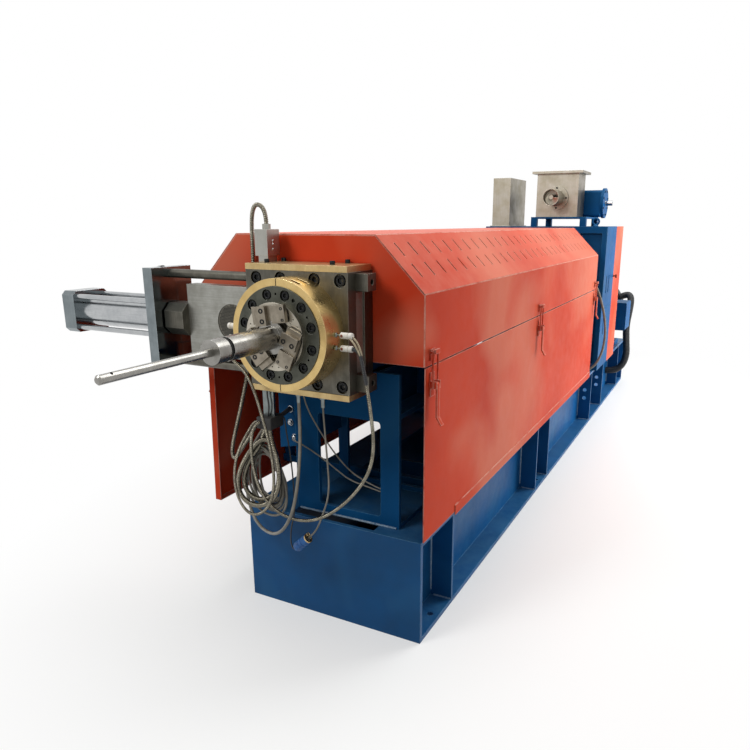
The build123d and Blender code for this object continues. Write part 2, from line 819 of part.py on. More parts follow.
def make_chute():
    outer = block(chute_left, chute_right, chute_front, chute_rear, cabinet_top, chute_top)
    outer -= block(chute_left + chute_wall, chute_right - chute_wall, chute_front + chute_wall,
                   chute_rear - chute_wall, cabinet_top - 1, chute_top + 1)
    foot = block(chute_left - chute_flange, chute_right + chute_flange, chute_front - chute_flange,
                 chute_rear + chute_flange, cabinet_top, cabinet_top + 2 * chute_wall)
    foot -= block(chute_left, chute_right, chute_front, chute_rear, cabinet_top - 1, chute_top)
    save("steel_chute", outer + foot)


def feed_flight():
    # One helical flight, a flat strip wound round the core.
    length = trough_reach + feeder_rear - feeder_front - flight_end_gap
    path = Helix(pitch=feed_screw_pitch, height=length, radius=feed_screw_core)
    width = feed_screw_radius - feed_screw_core
    start = Plane(origin=path @ 0, x_dir=Vector(1, 0, 0), z_dir=path % 0)
    profile = start * Pos(width / 2, 0) * Rectangle(width + 4, feed_flight_thick)
    return sweep(profile, path=path, is_frenet=True)


def make_feeder():
    table = block(table_left, table_right, table_front, table_rear, table_height, table_top)
    for x in (table_left, table_right - table_leg):
        for y in (table_front, table_rear - table_leg):
            table += block(x, x + table_leg, y, y + table_leg, cabinet_top, table_height)
    save("feeder_table", table)

    box = block(feeder_left, feeder_right, feeder_front, feeder_rear, table_top, feeder_top)
    box -= block(feeder_left + feeder_wall, feeder_right - feeder_wall, feeder_front + feeder_wall,
                 feeder_rear - feeder_wall, table_top + feeder_wall, feeder_top + 1)
    rim = block(feeder_left - feeder_rim, feeder_right + feeder_rim, feeder_front - feeder_rim,
                feeder_rear + feeder_rim, feeder_top, feeder_top + rim_thick)
    rim -= block(feeder_left + feeder_wall, feeder_right - feeder_wall, feeder_front + feeder_wall,
                 feeder_rear - feeder_wall, feeder_top - 1, feeder_top + rim_thick + 1)
    box -= rod_along_y(feeder_front - 1, feeder_front + feeder_wall + 1, trough_centre, trough_height,
                       trough_radius)
    box -= rod_along_y(feeder_rear - feeder_wall - 1, feeder_rear + 1, trough_centre, trough_height,
                       feed_screw_core + rod_clear)
    save("feeder_box", box + rim)

    mouth = feeder_front - trough_reach
    tube = rod_along_y(mouth, feeder_front, trough_centre, trough_height, trough_radius)
    tube += rod_along_y(feeder_front - trough_flange_thick, feeder_front, trough_centre, trough_height,
                        trough_flange_radius)
    tube -= rod_along_y(mouth - 1, feeder_front + 1, trough_centre, trough_height,
                        trough_radius - trough_wall)
    save("feeder_tube", tube)

    start = mouth + 12
    core = rod_along_y(start, feeder_rear + screw_tail, trough_centre, trough_height, feed_screw_core)
    flight = Pos(trough_centre, start, trough_height) * Rot(-90, 0, 0) * feed_flight()
    save("feeder_screw", core + flight)

    motor = rod_along_x(feeder_motor_left, feeder_motor_right, feeder_drive_y, feeder_drive_height,
                        feeder_motor_radius)
    fins = []
    for number in range(fin_count):
        fin = block(feeder_motor_left + 40, feeder_motor_right - 10, -2, 2, feeder_motor_radius - 2,
                    feeder_motor_radius + 7)
        fins.append(Pos(0, feeder_drive_y, feeder_drive_height) * Rot(360 / fin_count * number, 0, 0) * fin)
    foot = block(feeder_motor_left + 70, feeder_motor_right - 60, feeder_drive_y - 70, feeder_drive_y + 70,
                 table_top, feeder_drive_height - feeder_motor_radius + 12)
    save("feeder_motor", motor + fins + foot)

    case = block(reducer_left, reducer_right, feeder_drive_y - reducer_half, feeder_drive_y + reducer_half,
                 table_top, feeder_drive_height + reducer_half)
    case = fillet(case.edges().filter_by(Axis.X), 20)
    flange_face = reducer_right + reducer_flange_thick
    case += rod_along_x(reducer_right, flange_face, feeder_drive_y, feeder_drive_height,
                        reducer_flange_radius)
    case += rod_along_x(feeder_motor_right, reducer_left, feeder_drive_y, feeder_drive_height,
                        feeder_motor_radius - 10)
    case -= rod_along_x(reducer_left + 20, flange_face + 1, feeder_drive_y, feeder_drive_height,
                        output_collar_radius + rod_clear)
    save("feeder_reducer", case)
    shoulder = flange_face + output_collar_stand
    shaft = rod_along_x(reducer_left + 24, shoulder, feeder_drive_y, feeder_drive_height,
                        output_collar_radius)
    shaft += rod_along_x(shoulder, output_tip, feeder_drive_y, feeder_drive_height, output_radius)
    save("reducer_output_shaft", shaft)


def make_motor():
    body = rod_along_y(motor_front, motor_rear, motor_centre_x, motor_height, motor_radius)
    fins = []
    for number in range(motor_fins):
        fin = block(-3, 3, motor_front + 60, motor_rear - 60, motor_radius - 3, motor_radius + motor_fin)
        fins.append(Pos(motor_centre_x, 0, motor_height) * Rot(0, 360 / motor_fins * number, 0) * fin)
    foot = block(motor_centre_x - motor_foot_width / 2, motor_centre_x + motor_foot_width / 2,
                 motor_front + 40, motor_rear - 40, base_height, base_height + motor_foot)
    neck = block(motor_centre_x - motor_neck_half, motor_centre_x + motor_neck_half,
                 motor_front + motor_neck_inset, motor_rear - motor_neck_inset,
                 base_height + motor_foot, motor_height - motor_radius + motor_neck_rise)
    save("main_motor", body + foot + neck + fins)
    cowl = rod_along_y(motor_rear, motor_rear + cowl_depth, motor_centre_x, motor_height, cowl_radius)
    save("motor_cowl", cowl)
    box = block(terminal_left, terminal_right, terminal_front, terminal_rear, terminal_low, terminal_high)
    box = fillet(box.edges().filter_by(Axis.Y), 12)
    arm = block(motor_centre_x + motor_radius - 20, terminal_left, terminal_front + 40,
                terminal_rear - 40, terminal_low + 50, terminal_high - 50)
    arm -= rod_along_y(terminal_front, terminal_rear, motor_centre_x, motor_height,
                       motor_radius + motor_fin + seat_gap)
    save("motor_terminal_box", box + arm)


def latch_parts(side_x, outward, place):
    # A draw latch: hook above the split, base plate and lever below it, wire loop on the hook.
    def at(x0, x1, y0, y1, z0, z1):
        a = side_x + outward * x0
        b = side_x + outward * x1
        return block(min(a, b), max(a, b), place + y0, place + y1, z0, z1)
    half = latch_width / 2
    lip_top = latch_hook_height + hook_lip
    wire_x = latch_plate_thick + hook_lip
    hook = at(0, latch_plate_thick, -half, half, latch_hook_height - 22, lip_top + 6)
    hook += at(latch_plate_thick, wire_x + hook_lip, -half, half, latch_hook_height, lip_top)
    hook += at(wire_x + hook_lip - 3, wire_x + hook_lip, -half, half, lip_top, lip_top + 7)
    base = at(0, latch_plate_thick, -half, half, latch_base_height - 38, latch_base_height + 38)
    pin_x = side_x + outward * lever_pin_stand
    for y0 in (-half, half - cheek_thick):
        base += at(latch_plate_thick, lever_pin_stand + 8, y0, y0 + cheek_thick, latch_base_height - 12,
                   latch_base_height + 12)
    base += rod_along_y(place - half, place + half, pin_x, latch_base_height, lever_pin_radius)
    inner = half - cheek_thick - 1
    lever = rod_along_y(place - inner, place + inner, pin_x, latch_base_height, 2 * lever_pin_radius)
    lever += at(lever_pin_stand + 2, lever_pin_stand + 2 + lever_thick, -inner, inner,
                latch_base_height - lever_length + 24, latch_base_height)
    tip_x = side_x + outward * (lever_pin_stand + 2 + lever_thick / 2)
    tip = block(tip_x - lever_thick / 2, tip_x + lever_thick / 2, place - inner, place + inner, -30, 0)
    lean = Pos(tip_x, 0, latch_base_height - lever_length + 26) * Rot(0, -outward * tip_angle, 0)
    lever += lean * Pos(-tip_x, 0, 0) * tip
    lever -= rod_along_y(place - half, place + half, pin_x, latch_base_height,
                         lever_pin_radius + lever_clear)
    reach = half + loop_wire + seat_gap
    loop_x = side_x + outward * wire_x
    bar_height = lip_top + loop_wire + seat_gap
    leg_end = latch_base_height - 8
    bend = FilletPolyline((loop_x, place - reach, leg_end), (loop_x, place - reach, bar_height),
                          (loop_x, place + reach, bar_height), (loop_x, place + reach, leg_end),
                          radius=2 * loop_wire)
    loop = sweep(Plane(origin=bend @ 0, z_dir=bend % 0) * Circle(loop_wire), path=bend)
    return hook, base, lever, loop


def make_latches():
    fixed = []
    for number, place in enumerate(latch_places, start=1):
        hook, base, lever, loop = latch_parts(hood_right, 1, place)
        fixed += [hook, base, loop]
        save(f"latch_lever_{number}", lever)

    # The unseen left side has the same latches, closed and without a joint
    for place in latch_places:
        hook, base, lever, loop = latch_parts(hood_left, -1, place)
        lean = left_panel_splay * (hood_split - latch_base_height) / (hood_split - left_panel_low)
        low = Pos(-lean - 1, 0, 0)
        fixed += [hook, loop, low * (base + lever + rod_along_y(place - latch_width / 2, place + latch_width / 2,
                                                           hood_left - lever_pin_stand, latch_base_height,
                                                           lever_pin_radius + 2 * lever_clear))]
    save("latch_plates", *fixed)


def make_lead_holders():
    under = axis_height - block_half_height - brass_thick
    glands = []
    for x, tip in ((block_gland_x, block_gland_tip), (plug_gland_x, plug_gland_tip)):
        gland = rod_along_z(under - gland_nut_height, under, x, lead_gland_y, gland_nut_radius)
        gland += rod_along_z(tip, under - gland_nut_height, x, lead_gland_y, gland_sleeve_radius)
        glands.append(gland)
    bar = block(lead_bar_left, lead_bar_right, lead_bar_front, lead_bar_back, lead_clamp_low, under)
    bar += block(lead_clamp_left, lead_clamp_right, lead_clamp_front, lead_clamp_back, lead_clamp_low,
                 lead_clamp_high)
    save("lead_glands", *glands, bar)


def make_plug():
    # The plug hangs aslant, from its rear end to the face where its lead goes in.
    rear = Vector(*plug_rear)
    face = Vector(*plug_lead_route[-1])
    length = (face - rear).length
    body = Cylinder(plug_radius - plug_groove, length, align=(Align.CENTER, Align.CENTER, Align.MIN))
    bands = ((plug_cap_length, plug_rear_band),
             (plug_cap_length + plug_rear_band + plug_band_gap, plug_ring_length),
             (length - plug_front_band - plug_groove, plug_front_band))
    for start, reach in bands:
        body += Pos(0, 0, start) * Cylinder(plug_radius, reach,
                                            align=(Align.CENTER, Align.CENTER, Align.MIN))
    face_ring = Cylinder(plug_radius - plug_face_rim, 2 * plug_face_recess)
    face_ring -= Cylinder(2 * plug_lead_radius, 2 * plug_face_recess)
    body -= Pos(0, 0, length) * face_ring
    save("lead_plug", Plane(origin=rear, z_dir=face - rear) * body)


def make_leads():
    for name, route, radius in (("box_conduit", box_conduit_route, box_conduit_radius),
                                ("left_lead", left_lead_route, left_lead_radius),
                                ("ring_lead", ring_lead_route, ring_lead_radius),
                                ("block_lead", block_lead_route, block_lead_radius),
                                ("plug_lead", plug_lead_route, plug_lead_radius)):
        save(name, tube_along(name, route, radius))

    # The coil's outer shape: a rounded ring, pointed towards the clamp that it hangs from
    rims = []
    for outline in (coil_outer, coil_inner):
        around = [(x, 0, z) for x, z in outline[-1:] + outline + outline[:1]]
        rim = FilletPolyline(*outline, radius=largest_bends(around), close=True)
        rims.append(make_face(rim))
    coil = Pos(0, coil_back, 0) * Rot(90, 0, 0) * extrude(rims[0] - rims[1], coil_back - coil_front)
    faces = coil.faces().sort_by(Axis.Y)
    coil = fillet(faces[0].edges() + faces[-1].edges(), coil_round)
    save("cable_coil", coil)

    held = [("plug tail", tail_route, tail_radius),
            ("upper window lead", upper_window_route, window_lead_radius),
            ("lower window lead", lower_window_route, window_lead_radius),
            ("rear cable", rear_cable_route, rear_cable_radius),
            ("motor hose", motor_hose_route, motor_hose_radius)]
    save("held_leads", *[tube_along(*lead) for lead in held])


make_base()
make_stand()
make_hood()
make_lower_panels()
make_barrel()
make_screen_changer()
make_die_head()
make_cutter()
make_terminal_box()
make_cabinet()
make_chute()
make_feeder()
make_motor()
make_latches()
make_lead_holders()
make_plug()
make_leads()
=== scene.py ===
from math import cos, pi, radians, sin

import bmesh
import bpy
from mathutils import Matrix, Vector


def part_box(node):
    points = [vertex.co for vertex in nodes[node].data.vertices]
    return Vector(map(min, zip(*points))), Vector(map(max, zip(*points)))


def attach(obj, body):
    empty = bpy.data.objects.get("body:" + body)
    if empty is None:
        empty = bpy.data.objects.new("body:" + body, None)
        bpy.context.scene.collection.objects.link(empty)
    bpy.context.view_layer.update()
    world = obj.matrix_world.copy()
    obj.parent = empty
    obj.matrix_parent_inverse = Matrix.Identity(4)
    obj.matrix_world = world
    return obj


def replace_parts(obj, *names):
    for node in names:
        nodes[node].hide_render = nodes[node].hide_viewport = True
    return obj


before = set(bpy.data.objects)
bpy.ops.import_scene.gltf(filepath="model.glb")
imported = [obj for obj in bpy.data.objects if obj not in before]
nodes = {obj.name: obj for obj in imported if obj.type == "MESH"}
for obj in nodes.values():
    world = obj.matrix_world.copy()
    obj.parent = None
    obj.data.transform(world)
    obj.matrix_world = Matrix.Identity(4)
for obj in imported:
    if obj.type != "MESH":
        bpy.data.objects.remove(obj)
scene = bpy.context.scene
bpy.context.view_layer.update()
print("frame loaded,", len(nodes), "CAD pieces")

# The photograph was taken from the right of the die, a little above its axis
cameraSettings = {
    "place": (1.1484, -1.7484, 1.3768), "tiltDown": 14.69, "turnLeft": 26.94,
    "focalLength": 31.26, "shift": (-0.0295, 0.0244)}
cameraData = bpy.data.cameras.new("photoCamera")
cameraData.sensor_width = 36
cameraData.lens = cameraSettings["focalLength"]
cameraData.shift_x, cameraData.shift_y = cameraSettings["shift"]
cameraData.clip_start = 0.05
cameraData.clip_end = 100
camera = bpy.data.objects.new("photoCamera", cameraData)
camera.location = cameraSettings["place"]
camera.rotation_euler = (radians(90 - cameraSettings["tiltDown"]), 0, radians(cameraSettings["turnLeft"]))
scene.collection.objects.link(camera)
scene.camera = camera
print("camera placed")


def linear(hexColour):
    # sRGB hex to the linear values that Blender's shaders take
    shares = [int(hexColour[place:place + 2], 16) / 255 for place in (1, 3, 5)]
    return [s / 12.92 if s <= 0.04045 else ((s + 0.055) / 1.055) ** 2.4 for s in shares] + [1]


def perMetre(millimetres):
    # texture scale of a pattern whose period is a real size in millimetres
    return 1000 / millimetres


def addNode(tree, kind, settings=None):
    # settings name sockets or properties, and hold values, hex colours, or sockets and nodes to link from
    node = tree.nodes.new("ShaderNode" + kind)
    for name, value in (settings or {}).items():
        if isinstance(value, bpy.types.Node):
            value = value.outputs[0]
        if isinstance(value, str) and value.startswith("#"):
            value = linear(value)
        if isinstance(value, bpy.types.NodeSocket):
            tree.links.new(value, node.inputs[name])
        elif isinstance(name, int) or name in node.inputs:
            node.inputs[name].default_value = value
        else:
            setattr(node, name, value)
    return node


def newMaterial(name, look, patterns):
    # an empty material, its nodes, and cloudy patterns of the sizes in look
    material = bpy.data.materials.new(name)
    material.use_nodes = True
    tree = material.node_tree
    tree.nodes.clear()
    place = addNode(tree, "TexCoord").outputs["Object"]
    clouds = [addNode(tree, "TexNoise", {"Vector": place, "Scale": perMetre(look[size]), **detail})
              for size, detail in patterns.items()]
    return material, tree, clouds


def layOver(tree, below, over, *covers):
    # lays a colour over another one; a cover is a pattern, its start and end, and its full strength
    share = None
    for pattern, start, end, strength in covers:
        cover = addNode(tree, "MapRange", {"Value": pattern, "From Min": start, "From Max": end,
                                           "To Max": strength})
        share = addNode(tree, "Math", {"operation": "MULTIPLY", 0: share, 1: cover}) if share else cover
    return addNode(tree, "Mix", {"data_type": "RGBA", 0: share, 6: below, 7: over}).outputs[2]


def findEdges(tree, radius):
    # the normal with its edges rounded, and how well it agrees with the face's own
    normal = addNode(tree, "NewGeometry").outputs["Normal"]
    rounded = addNode(tree, "Bevel", {"samples": 4, "Radius": radius})
    agree = addNode(tree, "VectorMath", {"operation": "DOT_PRODUCT", 0: rounded, 1: normal})
    return rounded, agree.outputs["Value"]


def dress(material, colour, relief, pattern, smooth, dull, more):
    # gives the material its shader, with a roughness that follows the pattern from smooth to dull
    tree = material.node_tree
    rough = addNode(tree, "MapRange", {"Value": pattern, "From Min": 0.3, "From Max": 0.7, "To Min": smooth,
                                       "To Max": dull})
    surface = addNode(tree, "BsdfPrincipled", {"Base Color": colour, "Roughness": rough, "Normal": relief,
                                               **more})
    addNode(tree, "OutputMaterial", {"Surface": surface})
    return material


def enamel(name, look):
    # Alkyd machine enamel, sprayed on steel: gloss coat with orange peel on sheet that is never quite flat,
    # clouds of overspray, pale clouds of painted sheen, dust on what looks up that also paints the tops
    # lighter, and a thin pale painted highlight along edges
    material, tree, (cloud, grime, paintedSheen, peel, wave) = newMaterial(name, look, {
        "cloud": {"Detail": 4.0}, "grime": {"Detail": 6.0, "Roughness": 0.62},
        "paintedSheenSize": {"Detail": 2.0, "Distortion": 0.6}, "peel": {"Detail": 1.0}, "wave": {"Detail": 0.0}})
    rounded, agree = findEdges(tree, look["edge"])
    normal = addNode(tree, "NewGeometry").outputs["Normal"]
    upward = addNode(tree, "SeparateXYZ", {"Vector": normal}).outputs["Z"]
    colour = layOver(tree, look["colour"], look["shade"], (cloud, 0.35, 0.65, 1.0))
    # painted sheen: pale clouds that stand in for soft glare on the coat
    colour = layOver(tree, colour, look["paintedSheen"], (paintedSheen, 0.48, 0.66, look["paintedSheenStrength"]))
    # pale dust on upward faces, which also paints the tops lighter as if lit from above
    colour = layOver(tree, colour, look["dustAndTopLight"], (upward, 0.35, 0.9, look["dustAndTopLightStrength"]),
                     (grime, 0.22, 0.7, 1.0))
    # painted highlight: a thin pale line along edges
    colour = layOver(tree, colour, look["rim"], (agree, 0.985, 0.9, 0.8), (grime, 0.3, 0.55, 1.0))
    wavy = addNode(tree, "Bump", {"Height": wave, "Normal": rounded, "Distance": look["waveDepth"]})
    peeled = addNode(tree, "Bump", {"Height": peel, "Normal": wavy, "Distance": look["peelDepth"]})
    return dress(material, colour, peeled, grime, look["gloss"] - 0.04, look["gloss"] + 0.08,
                 {"IOR": 1.5, "Specular IOR Level": look["shine"]})


def bareMetal(name, look):
    # Bare metal that a tool cut or rolled: lines, stain clouds and a painted highlight along edges. streak is
    # the lines' period in millimetres along x, y and z, and rings that of a lathe's rings about the die's
    # axis
    material, tree, (stain,) = newMaterial(name, look, {"stain": {"Detail": 5.0, "Roughness": 0.6}})
    place = addNode(tree, "TexCoord").outputs["Object"]
    if "rings" in look:
        centred = addNode(tree, "Mapping", {"Vector": place, "Location": (0, 0, -axisHeight)})
        # the wave's own period is 0.314 of its unit
        lines = addNode(tree, "TexWave", {"Vector": centred, "wave_type": "RINGS", "rings_direction": "Y",
                                          "Scale": perMetre(look["rings"]) * 0.314,
                                          "Detail": 0.0}).outputs["Fac"]
        start, end, polish = 0.2, 1.0, 0.05
    else:
        squeezed = addNode(tree, "Mapping", {"Vector": place,
                                             "Scale": [perMetre(period) for period in look["streak"]]})
        lines = addNode(tree, "TexNoise", {"Vector": squeezed, "Scale": 1.0, "Detail": 3.0, "Roughness": 0.7})
        start, end, polish = 0.35, 0.7, 0.06
    rounded, agree = findEdges(tree, look["edge"])
    plain, stained, shade, rim = look["colours"]
    colour = layOver(tree, plain, stained, (stain, 0.36, 0.66, 1.0))
    colour = layOver(tree, colour, shade, (lines, start, end, look["lining"]))
    # painted highlight: the fourth colour along edges
    colour = layOver(tree, colour, rim, (agree, 0.99, 0.85, 0.6))
    cut = addNode(tree, "Bump", {"Height": lines, "Normal": rounded, "Distance": look["depth"]})
    return dress(material, colour, cut, stain, look["rough"] - polish, look["rough"] + 0.1,
                 {"Metallic": look.get("metallic", 1.0)})


def mouldedSkin(name, look):
    # Moulded rubber, plastic or unglazed ceramic: matt skin with a fine pebble and rubbed patches
    material, tree, (grain, rubbed) = newMaterial(name, look, {"grain": {"Detail": 3.0},
                                                               "rubbed": {"Detail": 4.0}})
    colour = layOver(tree, *look["colours"], (rubbed, 0.35, 0.7, 1.0))
    pebbled = addNode(tree, "Bump", {"Height": grain, "Strength": 0.6, "Distance": look["depth"]})
    return dress(material, colour, pebbled, rubbed, look["rough"], look["rough"] + 0.15, {"IOR": look["ior"]})


axisHeight = 1.06
# In an enamel's look, rim is the colour of a painted highlight along edges
blueCoat = {
    "colour": "#105288", "shade": "#0D4775", "dustAndTopLight": "#4C7594", "dustAndTopLightStrength": 0.5, "rim": "#5E9DC8",
    "paintedSheen": "#2C6690", "paintedSheenStrength": 0.3, "paintedSheenSize": 340, "cloud": 300, "grime": 45, "edge": 0.0026,
    "peel": 5, "peelDepth": 0.00008, "wave": 260, "waveDepth": 0.002, "gloss": 0.4, "shine": 0.05}
# A metal's colours: plain, stained, in its lines, and a painted highlight on its edges. A moulded skin's:
# plain and rubbed
looks = {
    "redEnamel": (enamel, {
        "colour": "#D04628", "shade": "#C03C22", "dustAndTopLight": "#D88B78", "dustAndTopLightStrength": 0.62, "rim": "#FBD3C2",
        "paintedSheen": "#DA866B", "paintedSheenStrength": 0.55, "paintedSheenSize": 760, "cloud": 520, "grime": 60, "edge": 0.0044,
        "peel": 5, "peelDepth": 0.00005, "wave": 330, "waveDepth": 0.003, "gloss": 0.38, "shine": 0.04}),
    "blueEnamel": (enamel, blueCoat),
    # Same blue on the base, thicker and glossier, with paler dust and painted top light, paler painted sheen
    # and a brighter painted highlight on edges
    "baseEnamel": (enamel, {
        **blueCoat, "colour": "#10538A", "dustAndTopLight": "#4C7CA0", "rim": "#6FA8CF", "paintedSheen": "#2F73A6",
        "paintedSheenSize": 300, "gloss": 0.36, "shine": 0.2}),
    "blackEnamel": (enamel, {
        "colour": "#17181A", "shade": "#1E1F21", "dustAndTopLight": "#54544F", "dustAndTopLightStrength": 0.5, "rim": "#3A3B3D",
        "paintedSheen": "#232426", "paintedSheenStrength": 0.4, "paintedSheenSize": 200, "cloud": 300, "grime": 40, "edge": 0.002,
        "peel": 4, "peelDepth": 0.00006, "wave": 300, "waveDepth": 0.001, "gloss": 0.45, "shine": 0.25}),
    # Hot-work steel with the oil film that stays on it after heating: dark and olive, faint mill marks
    "dieSteel": (bareMetal, {
        "colours": ("#6B685F", "#55534C", "#47453F", "#A3A196"), "streak": (3, 3, 60), "stain": 45,
        "lining": 0.5, "edge": 0.0012, "depth": 0.00008, "rough": 0.36}),
    # Ground tool steel: pale grey, long grinding lines, tea-coloured stains
    "groundSteel": (bareMetal, {
        "colours": ("#A2A29C", "#8B8A83", "#787770", "#D2D1CB"), "streak": (120, 3, 3), "stain": 60,
        "lining": 0.5, "edge": 0.001, "depth": 0.00005, "rough": 0.42}),
    # Case-hardened knife steel, flash-rusted to a faint warm tone and wiped: pale cream grey
    "knifeSteel": (bareMetal, {
        "colours": ("#968E80", "#7F776A", "#6D665A", "#D8D0C2"), "streak": (3, 3, 30), "stain": 25,
        "lining": 0.35, "edge": 0.0008, "depth": 0.00004, "rough": 0.36}),
    # Folded aluminium cover of the terminal box, brushed: pale, nearly mirror-like across the grain
    "boxAluminium": (bareMetal, {
        "colours": ("#A5A49E", "#97968F", "#8A8982", "#D8D8D4"), "streak": (2, 2, 90), "stain": 60,
        "lining": 0.3, "edge": 0.001, "depth": 0.00002, "rough": 0.32}),
    # Ground and blued plate: dark grey-blue, polished enough to mirror the hood
    "bluedPlate": (bareMetal, {
        "colours": ("#868E91", "#747C7F", "#656D70", "#C9D1D3"), "streak": (4, 4, 80), "stain": 60,
        "lining": 0.3, "edge": 0.0018, "depth": 0.00002, "rough": 0.14}),
    # Zinc-plated plate: cool blue-green cast over grey, soft clouds
    "zincPlate": (bareMetal, {
        "colours": ("#858C8B", "#717877", "#626969", "#C4CCCE"), "streak": (4, 4, 40), "stain": 35,
        "lining": 0.35, "edge": 0.0015, "depth": 0.00005, "rough": 0.3}),
    # Hard chrome on ground bar: nearly a mirror, with lengthways draw lines
    "hardChrome": (bareMetal, {
        "colours": ("#BBBDBE", "#A9ACAE", "#8F9396", "#F0F1F1"), "streak": (90, 2.5, 2.5), "stain": 50,
        "lining": 0.35, "edge": 0.0008, "depth": 0.00002, "rough": 0.16}),
    # Cold-rolled stainless sheet with a mill finish: warm grey with faint rolling lines
    "stainlessSheet": (bareMetal, {
        "colours": ("#A9A296", "#98917F", "#857E72", "#E2DCD0"), "streak": (3, 3, 140), "stain": 70,
        "lining": 0.4, "edge": 0.0015, "depth": 0.00006, "rough": 0.38}),
    # Grey cast iron left as cast: dark and grainy
    "castIron": (bareMetal, {
        "colours": ("#4A4A49", "#3C3B3A", "#343434", "#6B6B69"), "streak": (4, 4, 4), "stain": 40,
        "lining": 0.6, "edge": 0.002, "depth": 0.0004, "rough": 0.6, "metallic": 0.6}),
    # Cast brass heater plate, faces milled: yellow-brown, cutter lines, heat tint
    "milledBrass": (bareMetal, {
        "colours": ("#C4AD7E", "#B0986C", "#9C845A", "#F0DEAE"), "streak": (2.5, 2.5, 30), "stain": 55,
        "lining": 0.45, "edge": 0.0012, "depth": 0.00006, "rough": 0.34}),
    # Brass ring from the lathe: tool rings and a soft yellow lustre
    "turnedBrass": (bareMetal, {
        "rings": 3, "colours": ("#D3B87F", "#C0A46D", "#AE925D", "#F3E3B6"), "stain": 50, "lining": 0.3,
        "edge": 0.0014, "depth": 0.00003, "rough": 0.27}),
    # Die plate from the lathe, oiled and heated: dark grey
    "turnedDieSteel": (bareMetal, {
        "rings": 3, "colours": ("#575850", "#474841", "#3B3C37", "#94938B"), "stain": 30, "lining": 0.3,
        "edge": 0.001, "depth": 0.00003, "rough": 0.42}),
    # Lapped die face: pale and even, nearly without grain
    "lappedSteel": (bareMetal, {
        "rings": 2.5, "colours": ("#B9B3A6", "#A9A294", "#98917F", "#D8D4C8"), "stain": 25, "lining": 0.2,
        "edge": 0.0008, "depth": 0.00001, "rough": 0.33}),
    # Polished round steel from the lathe: rings of the tool's feed along Y and a strong lustre
    "turnedSteel": (bareMetal, {
        "colours": ("#9F9D98", "#8B8984", "#74726D", "#E6E6E2"), "streak": (400, 2.5, 400), "stain": 50,
        "lining": 0.4, "edge": 0.0008, "depth": 0.00002, "rough": 0.24}),
    # Black-oxide screws: dark, slightly blue, oily lustre
    "blackOxide": (bareMetal, {
        "colours": ("#2E2F30", "#262626", "#1E1F20", "#55585A"), "streak": (3, 3, 3), "stain": 12,
        "lining": 0.4, "edge": 0.0004, "depth": 0.00005, "rough": 0.38}),
    # Wound steel conduit: galvanised strip gone brown-grey, each turn catching the light
    "conduitSteel": (bareMetal, {
        "colours": ("#8C8778", "#6C675B", "#534F45", "#E2DDD0"), "streak": (6, 6, 6), "stain": 30,
        "lining": 0.5, "edge": 0.0006, "depth": 0.00005, "rough": 0.22}),
    # Reddish copper alloy of the terminals' screws
    "copperScrew": (bareMetal, {
        "colours": ("#7A4A3A", "#5E3528", "#4A2A20", "#A87A66"), "streak": (3, 3, 3), "stain": 8,
        "lining": 0.4, "edge": 0.0003, "depth": 0.00003, "rough": 0.4}),
    # Weld metal under thin paint: pale, uneven scale
    "weldMetal": (bareMetal, {
        "colours": ("#6F8DA6", "#3F668A", "#A9B4BC", "#C9D3DA"), "streak": (7, 7, 7), "stain": 16,
        "lining": 0.7, "edge": 0.0006, "depth": 0.0004, "rough": 0.5, "metallic": 0.3}),
    "blackRubber": (mouldedSkin, {
        "colours": ("#1A1A1A", "#2B2A29"), "grain": 1.5, "rubbed": 25, "depth": 0.0002, "rough": 0.6,
        "ior": 1.52}),
    # Woven glass sleeve, varnished: warm beige
    "glassSleeve": (mouldedSkin, {
        "colours": ("#B9AB90", "#A3957A"), "grain": 1.2, "rubbed": 10, "depth": 0.0003, "rough": 0.6,
        "ior": 1.5}),
    # Silicone sheath over a woven screen, dusty: pale warm grey
    "paleSheath": (mouldedSkin, {
        "colours": ("#8A867B", "#736F65"), "grain": 1.4, "rubbed": 30, "depth": 0.0002, "rough": 0.25,
        "ior": 1.5}),
    # Black PVC over the conduit, oily
    "blackSheath": (mouldedSkin, {
        "colours": ("#121315", "#232426"), "grain": 2.0, "rubbed": 20, "depth": 0.0001, "rough": 0.38,
        "ior": 1.52}),
    # Moulded nylon of the plug: saturated blue, slightly waxy
    "bluePolyamide": (mouldedSkin, {
        "colours": ("#0E66B2", "#0B4F8E"), "grain": 1.5, "rubbed": 14, "depth": 0.00008, "rough": 0.35,
        "ior": 1.53}),
    "steatite": (mouldedSkin, {
        "colours": ("#E9E6DF", "#D8D2C6"), "grain": 1.2, "rubbed": 12, "depth": 0.0001, "rough": 0.45,
        "ior": 1.55}),
    # Near-black matt skin: painted shade laid where holes, the hub's groove and the plug's socket would be
    # dark
    "paintedShade": (mouldedSkin, {
        "colours": ("#121210", "#1B1A18"), "grain": 1.0, "rubbed": 9, "depth": 0.0001, "rough": 0.8,
        "ior": 1.45}),
}
finishes = {name: make(name, look) for name, (make, look) in looks.items()}
